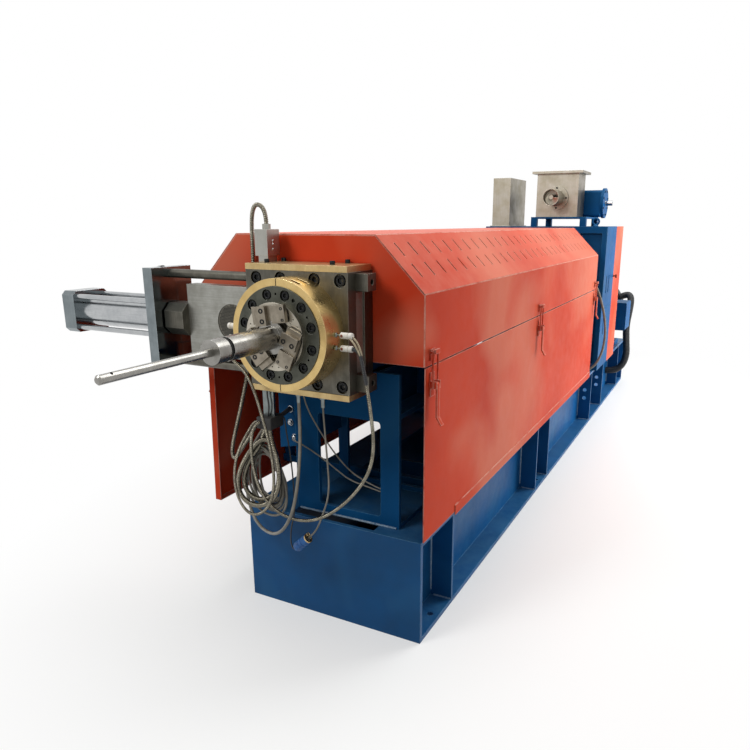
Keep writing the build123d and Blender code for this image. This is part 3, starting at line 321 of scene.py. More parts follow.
nodeFinishes = {
    "redEnamel": ["hood_panels", "vent_panels", "hood_end_plates", "right_lower_panel", "left_lower_panel",
                  "latch_plates", "latch_lever_1", "latch_lever_2", "latch_lever_3", "cabinet_guard_panel"],
    "baseEnamel": ["base_frame", "base_stiffeners"],
    "blackEnamel": ["motor_cowl"],
    "dieSteel": ["screen_changer_block", "rod_end_lugs", "guide_rods", "ram_coupling", "breaker_plates"],
    "groundSteel": ["slide_plate"],
    "knifeSteel": ["knife_arms", "knife_clamps"],
    "boxAluminium": ["terminal_box"],
    "bluedPlate": ["yoke_plate", "cylinder_cap"],
    "zincPlate": ["lead_glands"],
    "hardChrome": ["cylinder_tube", "cylinder_tie_rods", "ram", "reducer_output_shaft"],
    "stainlessSheet": ["feeder_box", "feeder_tube", "feeder_screw", "steel_chute"],
    "milledBrass": ["block_heater_plates"],
    "turnedBrass": ["die_heater_ring"],
    "turnedDieSteel": ["die_body"],
    "lappedSteel": ["die_face"],
    "turnedSteel": ["cutter_hub", "cutter_shaft"],
    "castIron": ["barrel", "barrel_heaters", "feed_housing"],
}
finishOf = {node: finish for finish, members in nodeFinishes.items() for node in members}
for nodeName, node in nodes.items():
    node.data.materials.clear()
    node.data.materials.append(finishes[finishOf.get(nodeName, "blueEnamel")])
print("materials made and given to the CAD pieces")


front, right, left, top = (0, -1, 0), (1, 0, 0), (-1, 0, 0), (0, 0, 1)


def facing(place, direction, turn=0.0):
    # local Z looks along the direction, from that place
    rotation = Vector(direction).to_track_quat("Z", "Y").to_matrix().to_4x4()
    return Matrix.Translation(Vector(place)) @ rotation @ Matrix.Rotation(radians(turn), 4, "Z")


def lathe(shape, at, profile, steps=24):
    # profile holds (radius, height), and a third value of 6 makes that ring six-sided
    rings = []
    for radius, height, *sides in profile:
        ring = []
        for step in range(steps if radius else 1):
            angle = 2 * pi * step / steps
            reach = radius / cos((angle + pi / 6) % (pi / 3) - pi / 6) if sides else radius
            ring.append(shape.verts.new(at @ Vector((reach * cos(angle), reach * sin(angle), height))))
        rings.append(ring)
    for low, high in zip(rings, rings[1:]):
        for step in range(steps):
            after = step + 1
            corners = [low[step % len(low)], low[after % len(low)],
                       high[after % len(high)], high[step % len(high)]]
            shape.faces.new(list(dict.fromkeys(corners)))


def capScrew(shape, at, size):
    # socket head: chamfered rim and a hexagonal socket
    rim, rise, socket = size["head"] / 2, size["rise"], size["socket"] / 2
    lathe(shape, at, [(rim, 0), (rim, 0.82 * rise), (0.9 * rim, rise), (1.3 * socket, rise),
                      (socket, 0.94 * rise, 6), (socket, rise - 1.1 * socket, 6), (0, rise - 1.5 * socket)])


def screwCircle(shape, centre, outward, circle):
    # socket screws at equal angles, counted from the top one
    sideways = Vector(top).cross(Vector(outward))
    for number in range(circle["count"]):
        angle = radians(circle["first"] + 360 / circle["count"] * number)
        place = Vector(centre) + circle["radius"] * (sin(angle) * sideways + cos(angle) * Vector(top))
        capScrew(shape, facing(place, outward, circle.get("turn", 0) * number), circle)


def hexBolt(shape, at, size):
    # washer and six-sided head with its chamfer
    washer, flat, rise = size["washer"] / 2, size["flats"] / 2, size["rise"]
    thick = 0.25 * rise
    lathe(shape, at, [(washer, 0), (washer, thick), (1.05 * flat, thick), (flat, thick, 6),
                      (flat, 0.9 * rise + thick, 6), (0.95 * flat, rise + thick), (0, rise + thick)])


def panScrew(shape, at, size):
    # low domed head with a hollow in place of its slot
    rim, rise = size["head"] / 2, size["rise"]
    lathe(shape, at, [(rim, 0), (rim, 0.3 * rise), (0.8 * rim, 0.75 * rise), (0.45 * rim, rise),
                      (0.18 * rim, 0.95 * rise), (0, 0.5 * rise)], steps=16)


def slab(shape, low, high, bevel):
    middle, size = (Vector(low) + Vector(high)) / 2, Vector(high) - Vector(low)
    at = Matrix.Translation(middle) @ Matrix.Diagonal((*size, 1))
    made = bmesh.ops.create_cube(shape, size=1, matrix=at)
    edges = {edge for corner in made["verts"] for edge in corner.link_edges}
    bmesh.ops.bevel(shape, geom=list(edges), offset=bevel, segments=2, affect="EDGES", profile=0.5)


def tube(shape, path, radii, sides=10, closed=False):
    # a round tube along the path; radii is one radius or one for each point
    path = [Vector(point) for point in path]
    count = len(path)
    radii = radii if isinstance(radii, list) else [radii] * count
    side = None
    rings = []
    for number, point in enumerate(path):
        after = path[(number + 1) % count] if closed or number + 1 < count else point
        before = path[number - 1] if closed or number else point
        ahead = (after - before).normalized()
        side = side or ahead.orthogonal()
        side = (side - side.dot(ahead) * ahead).normalized()
        up = ahead.cross(side)
        rings.append([shape.verts.new(point + radii[number] * (side * cos(2 * pi * step / sides)
                                                               + up * sin(2 * pi * step / sides)))
                      for step in range(sides)])
    pairs = list(zip(rings, rings[1:]))
    if closed:
        pairs.append((rings[-1], rings[0]))
    else:
        shape.faces.new(rings[0][::-1])
        shape.faces.new(rings[-1])
    for low, high in pairs:
        for step in range(sides):
            after = (step + 1) % sides
            shape.faces.new((low[step], low[after], high[after], high[step]))


def ringPath(at, radius, steps):
    angles = [2 * pi * step / steps for step in range(steps)]
    return [at @ Vector((radius * cos(angle), radius * sin(angle), 0)) for angle in angles]


def makePiece(shape, name, finish, body="machine", sharp=38):
    bmesh.ops.recalc_face_normals(shape, faces=shape.faces)
    mesh = bpy.data.meshes.new(name)
    shape.to_mesh(mesh)
    shape.free()
    mesh.shade_smooth()
    mesh.set_sharp_from_angle(angle=radians(sharp))
    mesh.materials.append(finishes[finish])
    piece = bpy.data.objects.new(name, mesh)
    scene.collection.objects.link(piece)
    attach(piece, body)
    return piece


# Leads and conduits. Each route's points are the control points of one smooth line, in metres. A ribbed
# conduit has its wound strip's pitch, and a groove that is a share of its radius
routes = {
    "box_conduit": {
        "radius": 0.007, "length": 1.24, "pitch": 0.0056, "groove": 0.72, "stiffness": "stiff", "points": [
            (-0.161, -0.069, 1.373), (-0.161, -0.069, 1.398), (-0.178, -0.064, 1.427),
            (-0.214, -0.051, 1.434), (-0.24, -0.038, 1.408), (-0.252, -0.029, 1.356),
            (-0.258, -0.022, 1.27), (-0.266, -0.019, 1.15), (-0.281, -0.019, 1.03), (-0.3, -0.023, 0.905),
            (-0.328, -0.032, 0.785), (-0.36, -0.044, 0.665), (-0.376, -0.054, 0.59), (-0.36, -0.062, 0.558),
            (-0.322, -0.072, 0.6), (-0.264, -0.082, 0.666), (-0.236, -0.085, 0.712),
            (-0.212, -0.086, 0.741), (-0.19, -0.086, 0.741)]},
    "left_lead": {
        "radius": 0.005, "length": 1.09, "pitch": 0.005, "groove": 0.72, "points": [
            (-0.222, -0.2, 1.032), (-0.236, -0.2, 1.032), (-0.245, -0.2, 1.016), (-0.239, -0.2, 0.99),
            (-0.212, -0.199, 0.956), (-0.17, -0.198, 0.928), (-0.146, -0.189, 0.868),
            (-0.126, -0.181, 0.78), (-0.107, -0.178, 0.695), (-0.095, -0.178, 0.615),
            (-0.097, -0.178, 0.545), (-0.116, -0.178, 0.482), (-0.157, -0.176, 0.44),
            (-0.206, -0.172, 0.424), (-0.251, -0.167, 0.452), (-0.275, -0.163, 0.51),
            (-0.272, -0.161, 0.585), (-0.252, -0.154, 0.65), (-0.226, -0.137, 0.704),
            (-0.208, -0.12, 0.742), (-0.19, -0.12, 0.742)]},
    "ring_lead": {
        "radius": 0.0055, "length": 1.18, "pitch": 0.0056, "groove": 0.72, "points": [
            (0.222, -0.2, 1.032), (0.236, -0.2, 1.032), (0.246, -0.2, 1.017), (0.253, -0.199, 0.985),
            (0.264, -0.196, 0.925), (0.273, -0.192, 0.85), (0.28, -0.187, 0.76), (0.266, -0.181, 0.68),
            (0.228, -0.176, 0.612), (0.167, -0.171, 0.54), (0.096, -0.167, 0.482), (0.028, -0.164, 0.448),
            (-0.043, -0.162, 0.439), (-0.112, -0.161, 0.456), (-0.158, -0.161, 0.497),
            (-0.182, -0.161, 0.548), (-0.195, -0.16, 0.605), (-0.198, -0.159, 0.658),
            (-0.194, -0.16, 0.695), (-0.187, -0.158, 0.722), (-0.178, -0.15, 0.743),
            (-0.178, -0.132, 0.743)]},
    "block_lead": {
        "radius": 0.0055, "length": 1.17, "points": [
            (-0.042, -0.1, 0.82), (-0.042, -0.1, 0.778), (-0.034, -0.111, 0.706), (-0.024, -0.136, 0.62),
            (-0.018, -0.166, 0.535), (-0.028, -0.182, 0.466), (-0.062, -0.18, 0.408), (-0.11, -0.162, 0.37),
            (-0.167, -0.132, 0.35), (-0.228, -0.098, 0.342), (-0.284, -0.068, 0.36),
            (-0.318, -0.052, 0.418), (-0.326, -0.046, 0.49), (-0.312, -0.044, 0.56),
            (-0.284, -0.043, 0.622), (-0.249, -0.041, 0.674), (-0.215, -0.04, 0.716), (-0.19, -0.037, 0.74),
            (-0.168, -0.042, 0.748), (-0.168, -0.064, 0.748)]},
    "plug_lead": {
        "radius": 0.003, "length": 0.48, "points": [
            (0.05, -0.1, 0.815), (0.05, -0.1, 0.791), (0.058, -0.107, 0.748), (0.067, -0.115, 0.69),
            (0.073, -0.118, 0.628), (0.077, -0.119, 0.568), (0.069, -0.118, 0.512), (0.049, -0.117, 0.46),
            (0.034, -0.116, 0.422), (0.0115, -0.115, 0.381), (-0.014, -0.115, 0.357)]},
}
# Leads that the machine holds at both ends
heldRoutes = {
    "plug_tail": {
        "radius": 0.0025, "finish": "blackSheath", "points": [
            (-0.065, -0.115, 0.309), (-0.0752, -0.115, 0.2994), (-0.088, -0.111, 0.31),
            (-0.095, -0.105, 0.338), (-0.1, -0.09, 0.371), (-0.106, -0.062, 0.406), (-0.113, -0.05, 0.454),
            (-0.117, -0.047, 0.515), (-0.122, -0.046, 0.578), (-0.13, -0.045, 0.64), (-0.14, -0.044, 0.696),
            (-0.144, -0.042, 0.728), (-0.144, -0.048, 0.746), (-0.144, -0.064, 0.746)]},
    "upper_window_lead": {
        "radius": 0.0025, "points": [
            (-0.03, -0.092, 0.862), (-0.03, -0.092, 0.82), (-0.014, -0.01, 0.682), (0.015, 0.04, 0.591),
            (0.045, 0.078, 0.531), (0.095, 0.084, 0.506), (0.154, 0.082, 0.491), (0.196, 0.086, 0.484),
            (0.196, 0.066, 0.484)]},
    "lower_window_lead": {
        "radius": 0.0025, "points": [
            (-0.196, 0.082, 0.626), (-0.196, 0.06, 0.626), (-0.172, 0.042, 0.628), (-0.123, 0.038, 0.617),
            (-0.052, 0.042, 0.581), (-0.012, 0.066, 0.538), (0.031, 0.08, 0.502), (0.105, 0.082, 0.489),
            (0.158, 0.086, 0.478), (0.186, 0.088, 0.474), (0.186, 0.066, 0.474)]},
    "rear_cable": {
        "radius": 0.008, "points": [
            (0.338, 2.685, 1.0), (0.338, 2.711, 1.0), (0.355, 2.738, 0.96), (0.384, 2.758, 0.88),
            (0.41, 2.765, 0.79), (0.426, 2.766, 0.7), (0.429, 2.764, 0.61), (0.419, 2.758, 0.525),
            (0.393, 2.747, 0.452), (0.358, 2.737, 0.412), (0.331, 2.731, 0.396), (0.331, 2.731, 0.371)]},
    "motor_hose": {
        "radius": 0.028, "pitch": 0.012, "groove": 0.9, "finish": "blackSheath", "sides": 20, "points": [
            (0.304, 4.235, 0.7525), (0.34, 4.235, 0.769), (0.376, 4.212, 0.77), (0.398, 4.16, 0.738),
            (0.402, 4.08, 0.655), (0.398, 3.985, 0.54), (0.414, 3.95, 0.41), (0.428, 3.945, 0.3),
            (0.402, 3.945, 0.205), (0.338, 3.945, 0.15), (0.266, 3.945, 0.15)]},
    "bar_strand": {
        "radius": 0.003, "pitch": 0.004, "groove": 0.8, "finish": "blackSheath", "points": [
            (-0.156, -0.113, 0.862), (-0.157, -0.114, 0.835), (-0.151, -0.115, 0.805),
            (-0.153, -0.114, 0.78), (-0.158, -0.112, 0.76)]},
    "glass_sleeve_front": {
        "radius": 0.0028, "finish": "glassSleeve", "points": [
            (0.216, -0.206, 1.063), (0.226, -0.206, 1.055), (0.238, -0.205, 1.038),
            (0.247, -0.203, 1.016)]},
    "glass_sleeve_rear": {
        "radius": 0.0028, "finish": "glassSleeve", "points": [
            (0.221, -0.199, 1.066), (0.232, -0.199, 1.058), (0.243, -0.199, 1.041), (0.25, -0.199, 1.016)]},
}


def smoothLine(points):
    curve = bpy.data.curves.new("route", "CURVE")
    curve.dimensions = "3D"
    curve.resolution_u = 24
    spline = curve.splines.new("NURBS")
    spline.points.add(len(points) - 1)
    for control, point in zip(spline.points, points):
        control.co = (*point, 1)
    spline.order_u = 3
    spline.use_endpoint_u = True
    holder = bpy.data.objects.new("route", curve)
    mesh = bpy.data.meshes.new_from_object(holder)
    line = [vertex.co.copy() for vertex in mesh.vertices]
    bpy.data.objects.remove(holder)
    bpy.data.meshes.remove(mesh)
    bpy.data.curves.remove(curve)
    return line


def evenly(line, step):
    # points of the smooth line, a step apart, with both its ends
    reach = [0.0]
    for before, after in zip(line, line[1:]):
        reach.append(reach[-1] + (after - before).length)
    count = max(4, round(reach[-1] / step))
    path, place = [], 0
    for number in range(count + 1):
        along = reach[-1] * number / count
        while place < len(line) - 2 and reach[place + 1] < along:
            place += 1
        share = (along - reach[place]) / (reach[place + 1] - reach[place])
        path.append(line[place].lerp(line[place + 1], min(1.0, share)))
    return path, reach[-1]


def ribs(radius, groove, count):
    # a wound strip's radii: each fourth point lies in the groove
    return [radius * (groove if number % 4 == 3 else 1.0) for number in range(count)]


def makeLead(name, route):
    step, finish = (route["pitch"] / 4, "conduitSteel") if "pitch" in route else (0.005, "paleSheath")
    path, length = evenly(smoothLine(route["points"]), step)
    shape = bmesh.new()
    radii = ribs(route["radius"], route.get("groove", 1.0), len(path))
    tube(shape, path, radii, route.get("sides", 12))
    print("lead", name, round(length, 3), "m")
    return makePiece(shape, name, route.get("finish", finish), sharp=70), path


# Hanging coil: drop-shaped turns that shrink and wander, 14 control points to a turn. The stout conduit lies
# in front, and the thin lead behind it
coils = {
    "coil_conduit": {
        "radius": 0.0085, "length": 1.31, "pitch": 0.0056, "groove": 0.74, "sides": 14,
        "middle": (-0.2, 0.562), "half": (0.121, 0.138), "shrink": 0.13, "pinch": 0.5, "lean": 0.25,
        "wander": 0.0, "front": -0.129, "deep": 0.028, "first": 0.11, "turns": 1.8,
        "start": [(-0.146, -0.122, 0.722), (-0.1455, -0.1225, 0.706)],
        "end": [(-0.184, -0.099, 0.706), (-0.18, -0.099, 0.722)]},
    "coil_lead": {
        "radius": 0.004, "length": 4.43, "sides": 10,
        "middle": (-0.196, 0.532), "half": (0.096, 0.128), "shrink": 0.045, "pinch": 0.35, "lean": -0.12,
        "wander": 0.016, "front": -0.104, "deep": 0.035, "first": 0.1, "turns": 7.8,
        "start": [(-0.168, -0.104, 0.722), (-0.1675, -0.104, 0.7)],
        "end": [(-0.205, -0.0695, 0.69), (-0.19, -0.07, 0.722)]},
}
turnSteps = 14


def coilPoints(coil):
    points = list(coil["start"])
    count = round(coil["turns"] * turnSteps)
    for number in range(count + 1):
        turn = coil["first"] + number / turnSteps
        angle = 2 * pi * turn
        size = 1 - coil["shrink"] * turn
        wide = coil["half"][0] * size + coil["wander"] * sin(2.6 * turn)
        tall = coil["half"][1] * size + coil["wander"] * cos(1.9 * turn)
        narrow = 1 - coil["pinch"] * (1 + cos(angle)) / 2
        x = coil["middle"][0] + wide * sin(angle) * narrow + coil["lean"] * tall * cos(angle)
        y = coil["front"] + coil["deep"] * number / count
        points.append((x, y, coil["middle"][1] + tall * cos(angle)))
    return points + coil["end"]


# Round plug: shell, metal rim with its hinged cover's eye, socket floor in painted shade, pins and the lead's
# bead
plug = {"rear": (-0.065, -0.115, 0.309), "face": (-0.014, -0.115, 0.357),
        "shell": [(0, 0), (0.0105, 0), (0.014, 0.0018), (0.0155, 0.006), (0.017, 0.0075), (0.0175, 0.01),
                  (0.0175, 0.026), (0.0156, 0.0275), (0.0156, 0.0305), (0.0175, 0.032), (0.0175, 0.0415),
                  (0.0156, 0.043), (0.0156, 0.0465), (0.0176, 0.048), (0.0176, 0.064), (0.0166, 0.066),
                  (0, 0.066)],
        "rim": [(0.0166, 0.0655), (0.0168, 0.069), (0.016, 0.0702), (0.0128, 0.0702), (0.0122, 0.069),
                (0.0122, 0.0655), (0.0166, 0.0655)],
        "eye": (0.006, 0.01, 0.073), "eyeRadius": 0.0062, "eyeWire": 0.0016,
        "socket": [(0.0121, 0.0661), (0.0121, 0.0666), (0, 0.0666)],
        "pins": 5, "pinCircle": 0.007, "pinFoot": 0.0665,
        "pin": [(0.0013, 0), (0.0013, 0.003), (0.0006, 0.0038), (0, 0.0038)],
        "bead": [(0.0042, -0.004), (0.0058, -0.002), (0.0058, 0.0), (0.0042, 0.001), (0, 0.001)]}
plugAt = facing(plug["rear"], Vector(plug["face"]) - Vector(plug["rear"]))
plugShell, plugRim, plugSocket, plugPins = bmesh.new(), bmesh.new(), bmesh.new(), bmesh.new()
lathe(plugShell, plugAt, plug["shell"], steps=40)
lathe(plugRim, plugAt, plug["rim"], steps=40)
eyeAt = plugAt @ Matrix.Translation(plug["eye"])
tube(plugRim, ringPath(eyeAt, plug["eyeRadius"], 18), plug["eyeWire"], 8, closed=True)
lathe(plugSocket, plugAt, plug["socket"])
for number in range(plug["pins"]):
    angle = 2 * pi * number / plug["pins"] + 0.5
    foot = Vector((plug["pinCircle"] * cos(angle), plug["pinCircle"] * sin(angle), plug["pinFoot"]))
    lathe(plugPins, plugAt @ Matrix.Translation(foot), plug["pin"], steps=10)
lathe(plugPins, plugAt, plug["bead"], steps=18)
plugPieces = [makePiece(plugShell, "plug_shell", "bluePolyamide"),
              makePiece(plugRim, "plug_rim", "milledBrass"),
              makePiece(plugSocket, "plug_socket", "paintedShade"),
              makePiece(plugPins, "plug_pins", "hardChrome")]
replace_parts(plugPieces[0], "lead_plug")

# Black sheath over the first turns of the ring's conduit, in steps of a quarter of its pitch
sleeve = {"radius": 0.0062, "groove": 0.78, "steps": 84}
for leadName, route in [*routes.items(), *coils.items()]:
    coiled = leadName in coils
    plugged = leadName == "plug_lead"
    if coiled:
        route["points"] = coilPoints(route)
    lead, leadPath = makeLead(f"{leadName}_skin", route)
    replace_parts(lead, "cable_coil" if coiled else leadName)
    partners = plugPieces if plugged else []
    if leadName == "ring_lead":
        shape = bmesh.new()
        tube(shape, leadPath[:sleeve["steps"]], ribs(sleeve["radius"], sleeve["groove"], sleeve["steps"]), 12)
        partners = [makePiece(shape, "ring_lead_sleeve", "blackSheath", sharp=70)]
for leadName, route in heldRoutes.items():
    lead = makeLead(leadName, route)[0]
    if leadName == "plug_tail":
        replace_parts(lead, "held_leads")
print("leads, coil and plug made")

# Clamp that gathers the leads, its arm to the stand's bracket, and the round heads there
clamp = {"low": (-0.1915, -0.1335, 0.7205), "high": (-0.1325, -0.0625, 0.7615), "bevel": 0.004,
         "arm": [(-0.15, -0.066, 0.748), (-0.172, 0.0, 0.744), (-0.2, 0.05, 0.735), (-0.211, 0.078, 0.73)],
         "armRadius": 0.008,
         "heads": [(-0.211, 0.082, 0.73), (-0.196, 0.082, 0.626), (-0.212, 0.082, 0.68)],
         "headShape": [(0.0125, 0), (0.0125, 0.003), (0.0105, 0.004), (0.01, 0.008), (0.007, 0.0115),
                       (0, 0.013)]}
shape = bmesh.new()
slab(shape, clamp["low"], clamp["high"], clamp["bevel"])
tube(shape, evenly(smoothLine(clamp["arm"]), 0.008)[0], clamp["armRadius"], 12)
makePiece(shape, "lead_clamp", "blackRubber")
shape = bmesh.new()
for place in clamp["heads"]:
    lathe(shape, facing(place, front), clamp["headShape"])
makePiece(shape, "bracket_heads", "hardChrome")

# Ceramic terminals on the heater ring: studs, turned bodies with a capped end, and a screw in each notch
terminals = {"heights": (1.069, 1.032), "y": -0.2, "start": 0.184, "stud": 0.165, "studRadius": 0.003,
             "body": [(0, 0), (0.0078, 0), (0.009, 0.001), (0.009, 0.0245), (0.0074, 0.025), (0.0074, 0.0268),
                      (0.0092, 0.0273), (0.0092, 0.0365), (0.0082, 0.038), (0, 0.038)],
             "nut": [(0.0062, 0, 6), (0.0062, 0.005, 6), (0.0052, 0.0055), (0, 0.0055)],
             "screw": {"x": 0.1905, "y": -0.2088, "head": 0.0085, "rise": 0.0016}}
screw = terminals["screw"]
bodies, studs, screws = bmesh.new(), bmesh.new(), bmesh.new()
for side in (-1, 1):
    for z in terminals["heights"]:
        start = (side * terminals["start"], terminals["y"], z)
        foot = (side * terminals["stud"], terminals["y"], z)
        lathe(bodies, facing(start, (side, 0, 0)), terminals["body"], steps=28)
        tube(studs, [foot, start], terminals["studRadius"])
        lathe(studs, facing(foot, (side, 0, 0)), terminals["nut"])
        panScrew(screws, facing((side * screw["x"], screw["y"], z), front), screw)
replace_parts(makePiece(bodies, "terminal_bodies", "steatite"), "ring_terminals")
makePiece(studs, "terminal_studs", "zincPlate")
makePiece(screws, "terminal_screws", "copperScrew")
print("clamp and terminals made")

# Painted shade: a dark band in the hub's groove, and dark discs for the cross hole near the drive rod's tip
hubBand = {"ends": (-0.4828, -0.4702), "radius": 0.0298}
shape = bmesh.new()
tube(shape, [(0, y, axisHeight) for y in hubBand["ends"]], hubBand["radius"], 48)
makePiece(shape, "hub_band", "paintedShade", body="cutter")
rodHole = {"y": -0.828, "toward": (0.55, 0, 0.83), "reach": 0.0104,
           "shape": [(0.0036, 0), (0.0034, 0.0006), (0, 0.0006)]}
shape = bmesh.new()
for side in (-1, 1):
    toward = side * Vector(rodHole["toward"]).normalized()
    place = Vector((0, rodHole["y"], axisHeight)) + rodHole["reach"] * toward
    lathe(shape, facing(place, toward), rodHole["shape"], steps=20)
makePiece(shape, "rod_hole", "paintedShade", body="cutter")

# Screws of the die plate, in their counterbores
dieScrews = {"count": 12, "radius": 0.121, "first": 15, "turn": 17, "seat": -0.241, "head": 0.024,
             "rise": 0.0078, "socket": 0.012}
shape = bmesh.new()
screwCircle(shape, (0, dieScrews["seat"], axisHeight), front, dieScrews)
makePiece(shape, "die_screws", "blackOxide")

# Big screws on the block's front, which hold its two halves round the slide
blockScrews = {"columns": (0.156, 0.068, -0.053, -0.143), "offset": 0.156, "seat": 0.012, "head": 0.031,
               "rise": 0.0105, "socket": 0.016}
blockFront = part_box("screen_changer_block")[0].y
shape = bmesh.new()
for side in (-1, 1):
    for number, x in enumerate(blockScrews["columns"]):
        place = (x, blockFront + blockScrews["seat"], axisHeight + side * blockScrews["offset"])
        capScrew(shape, facing(place, front, 11 * number), blockScrews)
makePiece(shape, "block_screws", "blackOxide")

# Screws that stand on the upper brass plate and hang under the lower one
plateScrews = {"across": (-0.134, 0.104), "along": (-0.11, -0.024), "head": 0.016, "rise": 0.011,
               "socket": 0.008}
brassLow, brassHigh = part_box("block_heater_plates")
shape = bmesh.new()
for x in plateScrews["across"]:
    for y in plateScrews["along"]:
        capScrew(shape, facing((x, y, brassHigh.z), top), plateScrews)
        capScrew(shape, facing((x, y, brassLow.z), (0, 0, -1)), plateScrews)
makePiece(shape, "plate_screws", "blackOxide")
print("screws of the die and block made")

# Knife clamps: two screws through each, two smaller ones through the arm's seat beside it
knives = {"count": 3, "first": 97, "rows": [
    {"at": -0.015, "radii": (0.048, 0.078), "y": -0.2903, "head": 0.0145, "rise": 0.0016, "socket": 0.007},
    {"at": 0.052, "radii": (0.048, 0.08), "y": -0.285, "head": 0.009, "rise": 0.0012, "socket": 0.0045}]}
shape = bmesh.new()
for number in range(knives["count"]):
    angle = radians(90 - knives["first"] + 360 / knives["count"] * number)
    turn = Matrix.Translation((0, 0, axisHeight)) @ Matrix.Rotation(angle, 4, "Y")
    for row in knives["rows"]:
        for radius in row["radii"]:
            capScrew(shape, turn @ facing((row["at"], row["y"], radius), front), row)
makePiece(shape, "knife_screws", "blackOxide", body="cutter")

# The screens' fine holes, as dark discs of painted shade: drawn 5.4 mm apart where the real ones are finer,
# so that they show
screens = {"places": (0, -0.285), "radius": 0.057, "pitch": 0.0054, "hole": 0.0019, "proud": 0.0006}
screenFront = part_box("breaker_plates")[0].y
holeShape = [(screens["hole"], 0), (screens["hole"], screens["proud"]), (0, screens["proud"])]
rowStep = 0.866 * screens["pitch"]
rows = int(screens["radius"] / rowStep)
shape = bmesh.new()
for middle in screens["places"]:
    for row in range(-rows, rows + 1):
        z = row * rowStep
        columns = int((screens["radius"] ** 2 - z ** 2) ** 0.5 / screens["pitch"])
        for column in range(-columns, columns + 1):
            x = column * screens["pitch"] + screens["pitch"] / 2 * (row % 2)
            if x ** 2 + z ** 2 < screens["radius"] ** 2:
                lathe(shape, facing((middle + x, screenFront, axisHeight + z), front), holeShape, steps=6)
makePiece(shape, "screen_holes", "paintedShade", "screen_slide")
print("knife screws and screens made")

# Three screws in the terminal box's right side
boxScrews = {"heights": (1.297, 1.312, 1.322), "y": -0.072, "head": 0.0075, "rise": 0.002}
shape = bmesh.new()
for z in boxScrews["heights"]:
    panScrew(shape, facing((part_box("terminal_box")[1].x, boxScrews["y"], z), right), boxScrews)
makePiece(shape, "box_screws", "hardChrome")

# Cap and yoke: nuts on the tie rods' and guide rods' ends
slideMiddle = -0.086
rodNuts = {"offset": 0.056, "seat": 0.0155, "washer": 0.03, "flats": 0.024, "rise": 0.012}
guideNuts = {"offset": 0.15, "washer": 0.05, "flats": 0.041, "rise": 0.02}
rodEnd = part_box("cylinder_cap")[0].x + rodNuts["seat"]
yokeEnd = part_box("yoke_plate")[0].x
shape = bmesh.new()
for sideZ in (-1, 1):
    for sideY in (-1, 1):
        place = (rodEnd, slideMiddle + sideY * rodNuts["offset"], axisHeight + sideZ * rodNuts["offset"])
        hexBolt(shape, facing(place, left), rodNuts)
    place = (yokeEnd, slideMiddle, axisHeight + sideZ * guideNuts["offset"])
    hexBolt(shape, facing(place, left, 12), guideNuts)
makePiece(shape, "rod_nuts", "zincPlate")
print("nuts made")

# Feeder: cap screws of the tube's flange, screws of the reducer's flange
flangeScrews = {"centre": (0.01, 2.906, 1.54), "radius": 0.066, "count": 4, "first": 0,
                "head": 0.012, "rise": 0.007, "socket": 0.006}
shape = bmesh.new()
screwCircle(shape, flangeScrews["centre"], front, flangeScrews)
makePiece(shape, "flange_screws", "blackOxide")
reducerScrews = {"y": 3.24, "z": 1.51, "radius": 0.085, "count": 8, "first": 22.5,
                 "head": 0.015, "rise": 0.003, "socket": 0.008}
shape = bmesh.new()
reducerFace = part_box("feeder_reducer")[1].x
screwCircle(shape, (reducerFace, reducerScrews["y"], reducerScrews["z"]), right, reducerScrews)
makePiece(shape, "reducer_screws", "blackOxide")

# Lifting eye on the cabinet and the knob of its guard
liftingEye = {"x": 0.285, "y": 2.915, "ring": 0.021, "wire": 0.0065, "lift": 0.033,
              "collar": [(0.019, 0), (0.019, 0.006), (0.01, 0.011), (0.008, 0.014), (0, 0.014)]}
eyeFoot = Vector((liftingEye["x"], liftingEye["y"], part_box("gear_cabinet")[1].z))
shape = bmesh.new()
lathe(shape, facing(eyeFoot, top), liftingEye["collar"])
upright = Matrix.Translation(eyeFoot + liftingEye["lift"] * Vector(top)) @ Matrix.Rotation(pi / 2, 4, "X")
tube(shape, ringPath(upright, liftingEye["ring"], 28), liftingEye["wire"], 12, closed=True)
makePiece(shape, "lifting_eye", "blueEnamel")
guardKnob = {"y": 3.246, "z": 1.002, "profile": [(0.006, 0), (0.006, 0.012), (0.014, 0.014), (0.016, 0.02),
                                                 (0.014, 0.027), (0.006, 0.03), (0, 0.03)]}
shape = bmesh.new()
knobFoot = (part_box("cabinet_guard_panel")[1].x, guardKnob["y"], guardKnob["z"])
lathe(shape, facing(knobFoot, right), guardKnob["profile"])
makePiece(shape, "guard_knob", "redEnamel")
print("feeder and cabinet fittings made")

# Weld beads where the stand's front plate meets the base and at the base's ribs
beads = {"radius": 0.0042, "ripple": 0.0009, "step": 0.0055}
standFront = {"ends": (-0.16, 0.232), "y": 0.05, "lift": 0.002}
baseRibs = {"places": (0.273, 1.429, 1.666, 2.845, 3.287, 4.015), "halfThick": 0.006, "web": 0.266,
            "inner": 0.278, "edge": 0.348, "floor": 0.016, "low": 0.036, "high": 0.335}


def bead(shape, start, end):
    start, end = Vector(start), Vector(end)
    count = max(3, int((end - start).length / beads["step"]))
    path = [start.lerp(end, number / count) for number in range(count + 1)]
    radii = [beads["radius"] + beads["ripple"] * (1 if number % 2 else -1) for number in range(count + 1)]
    tube(shape, path, radii, 8)


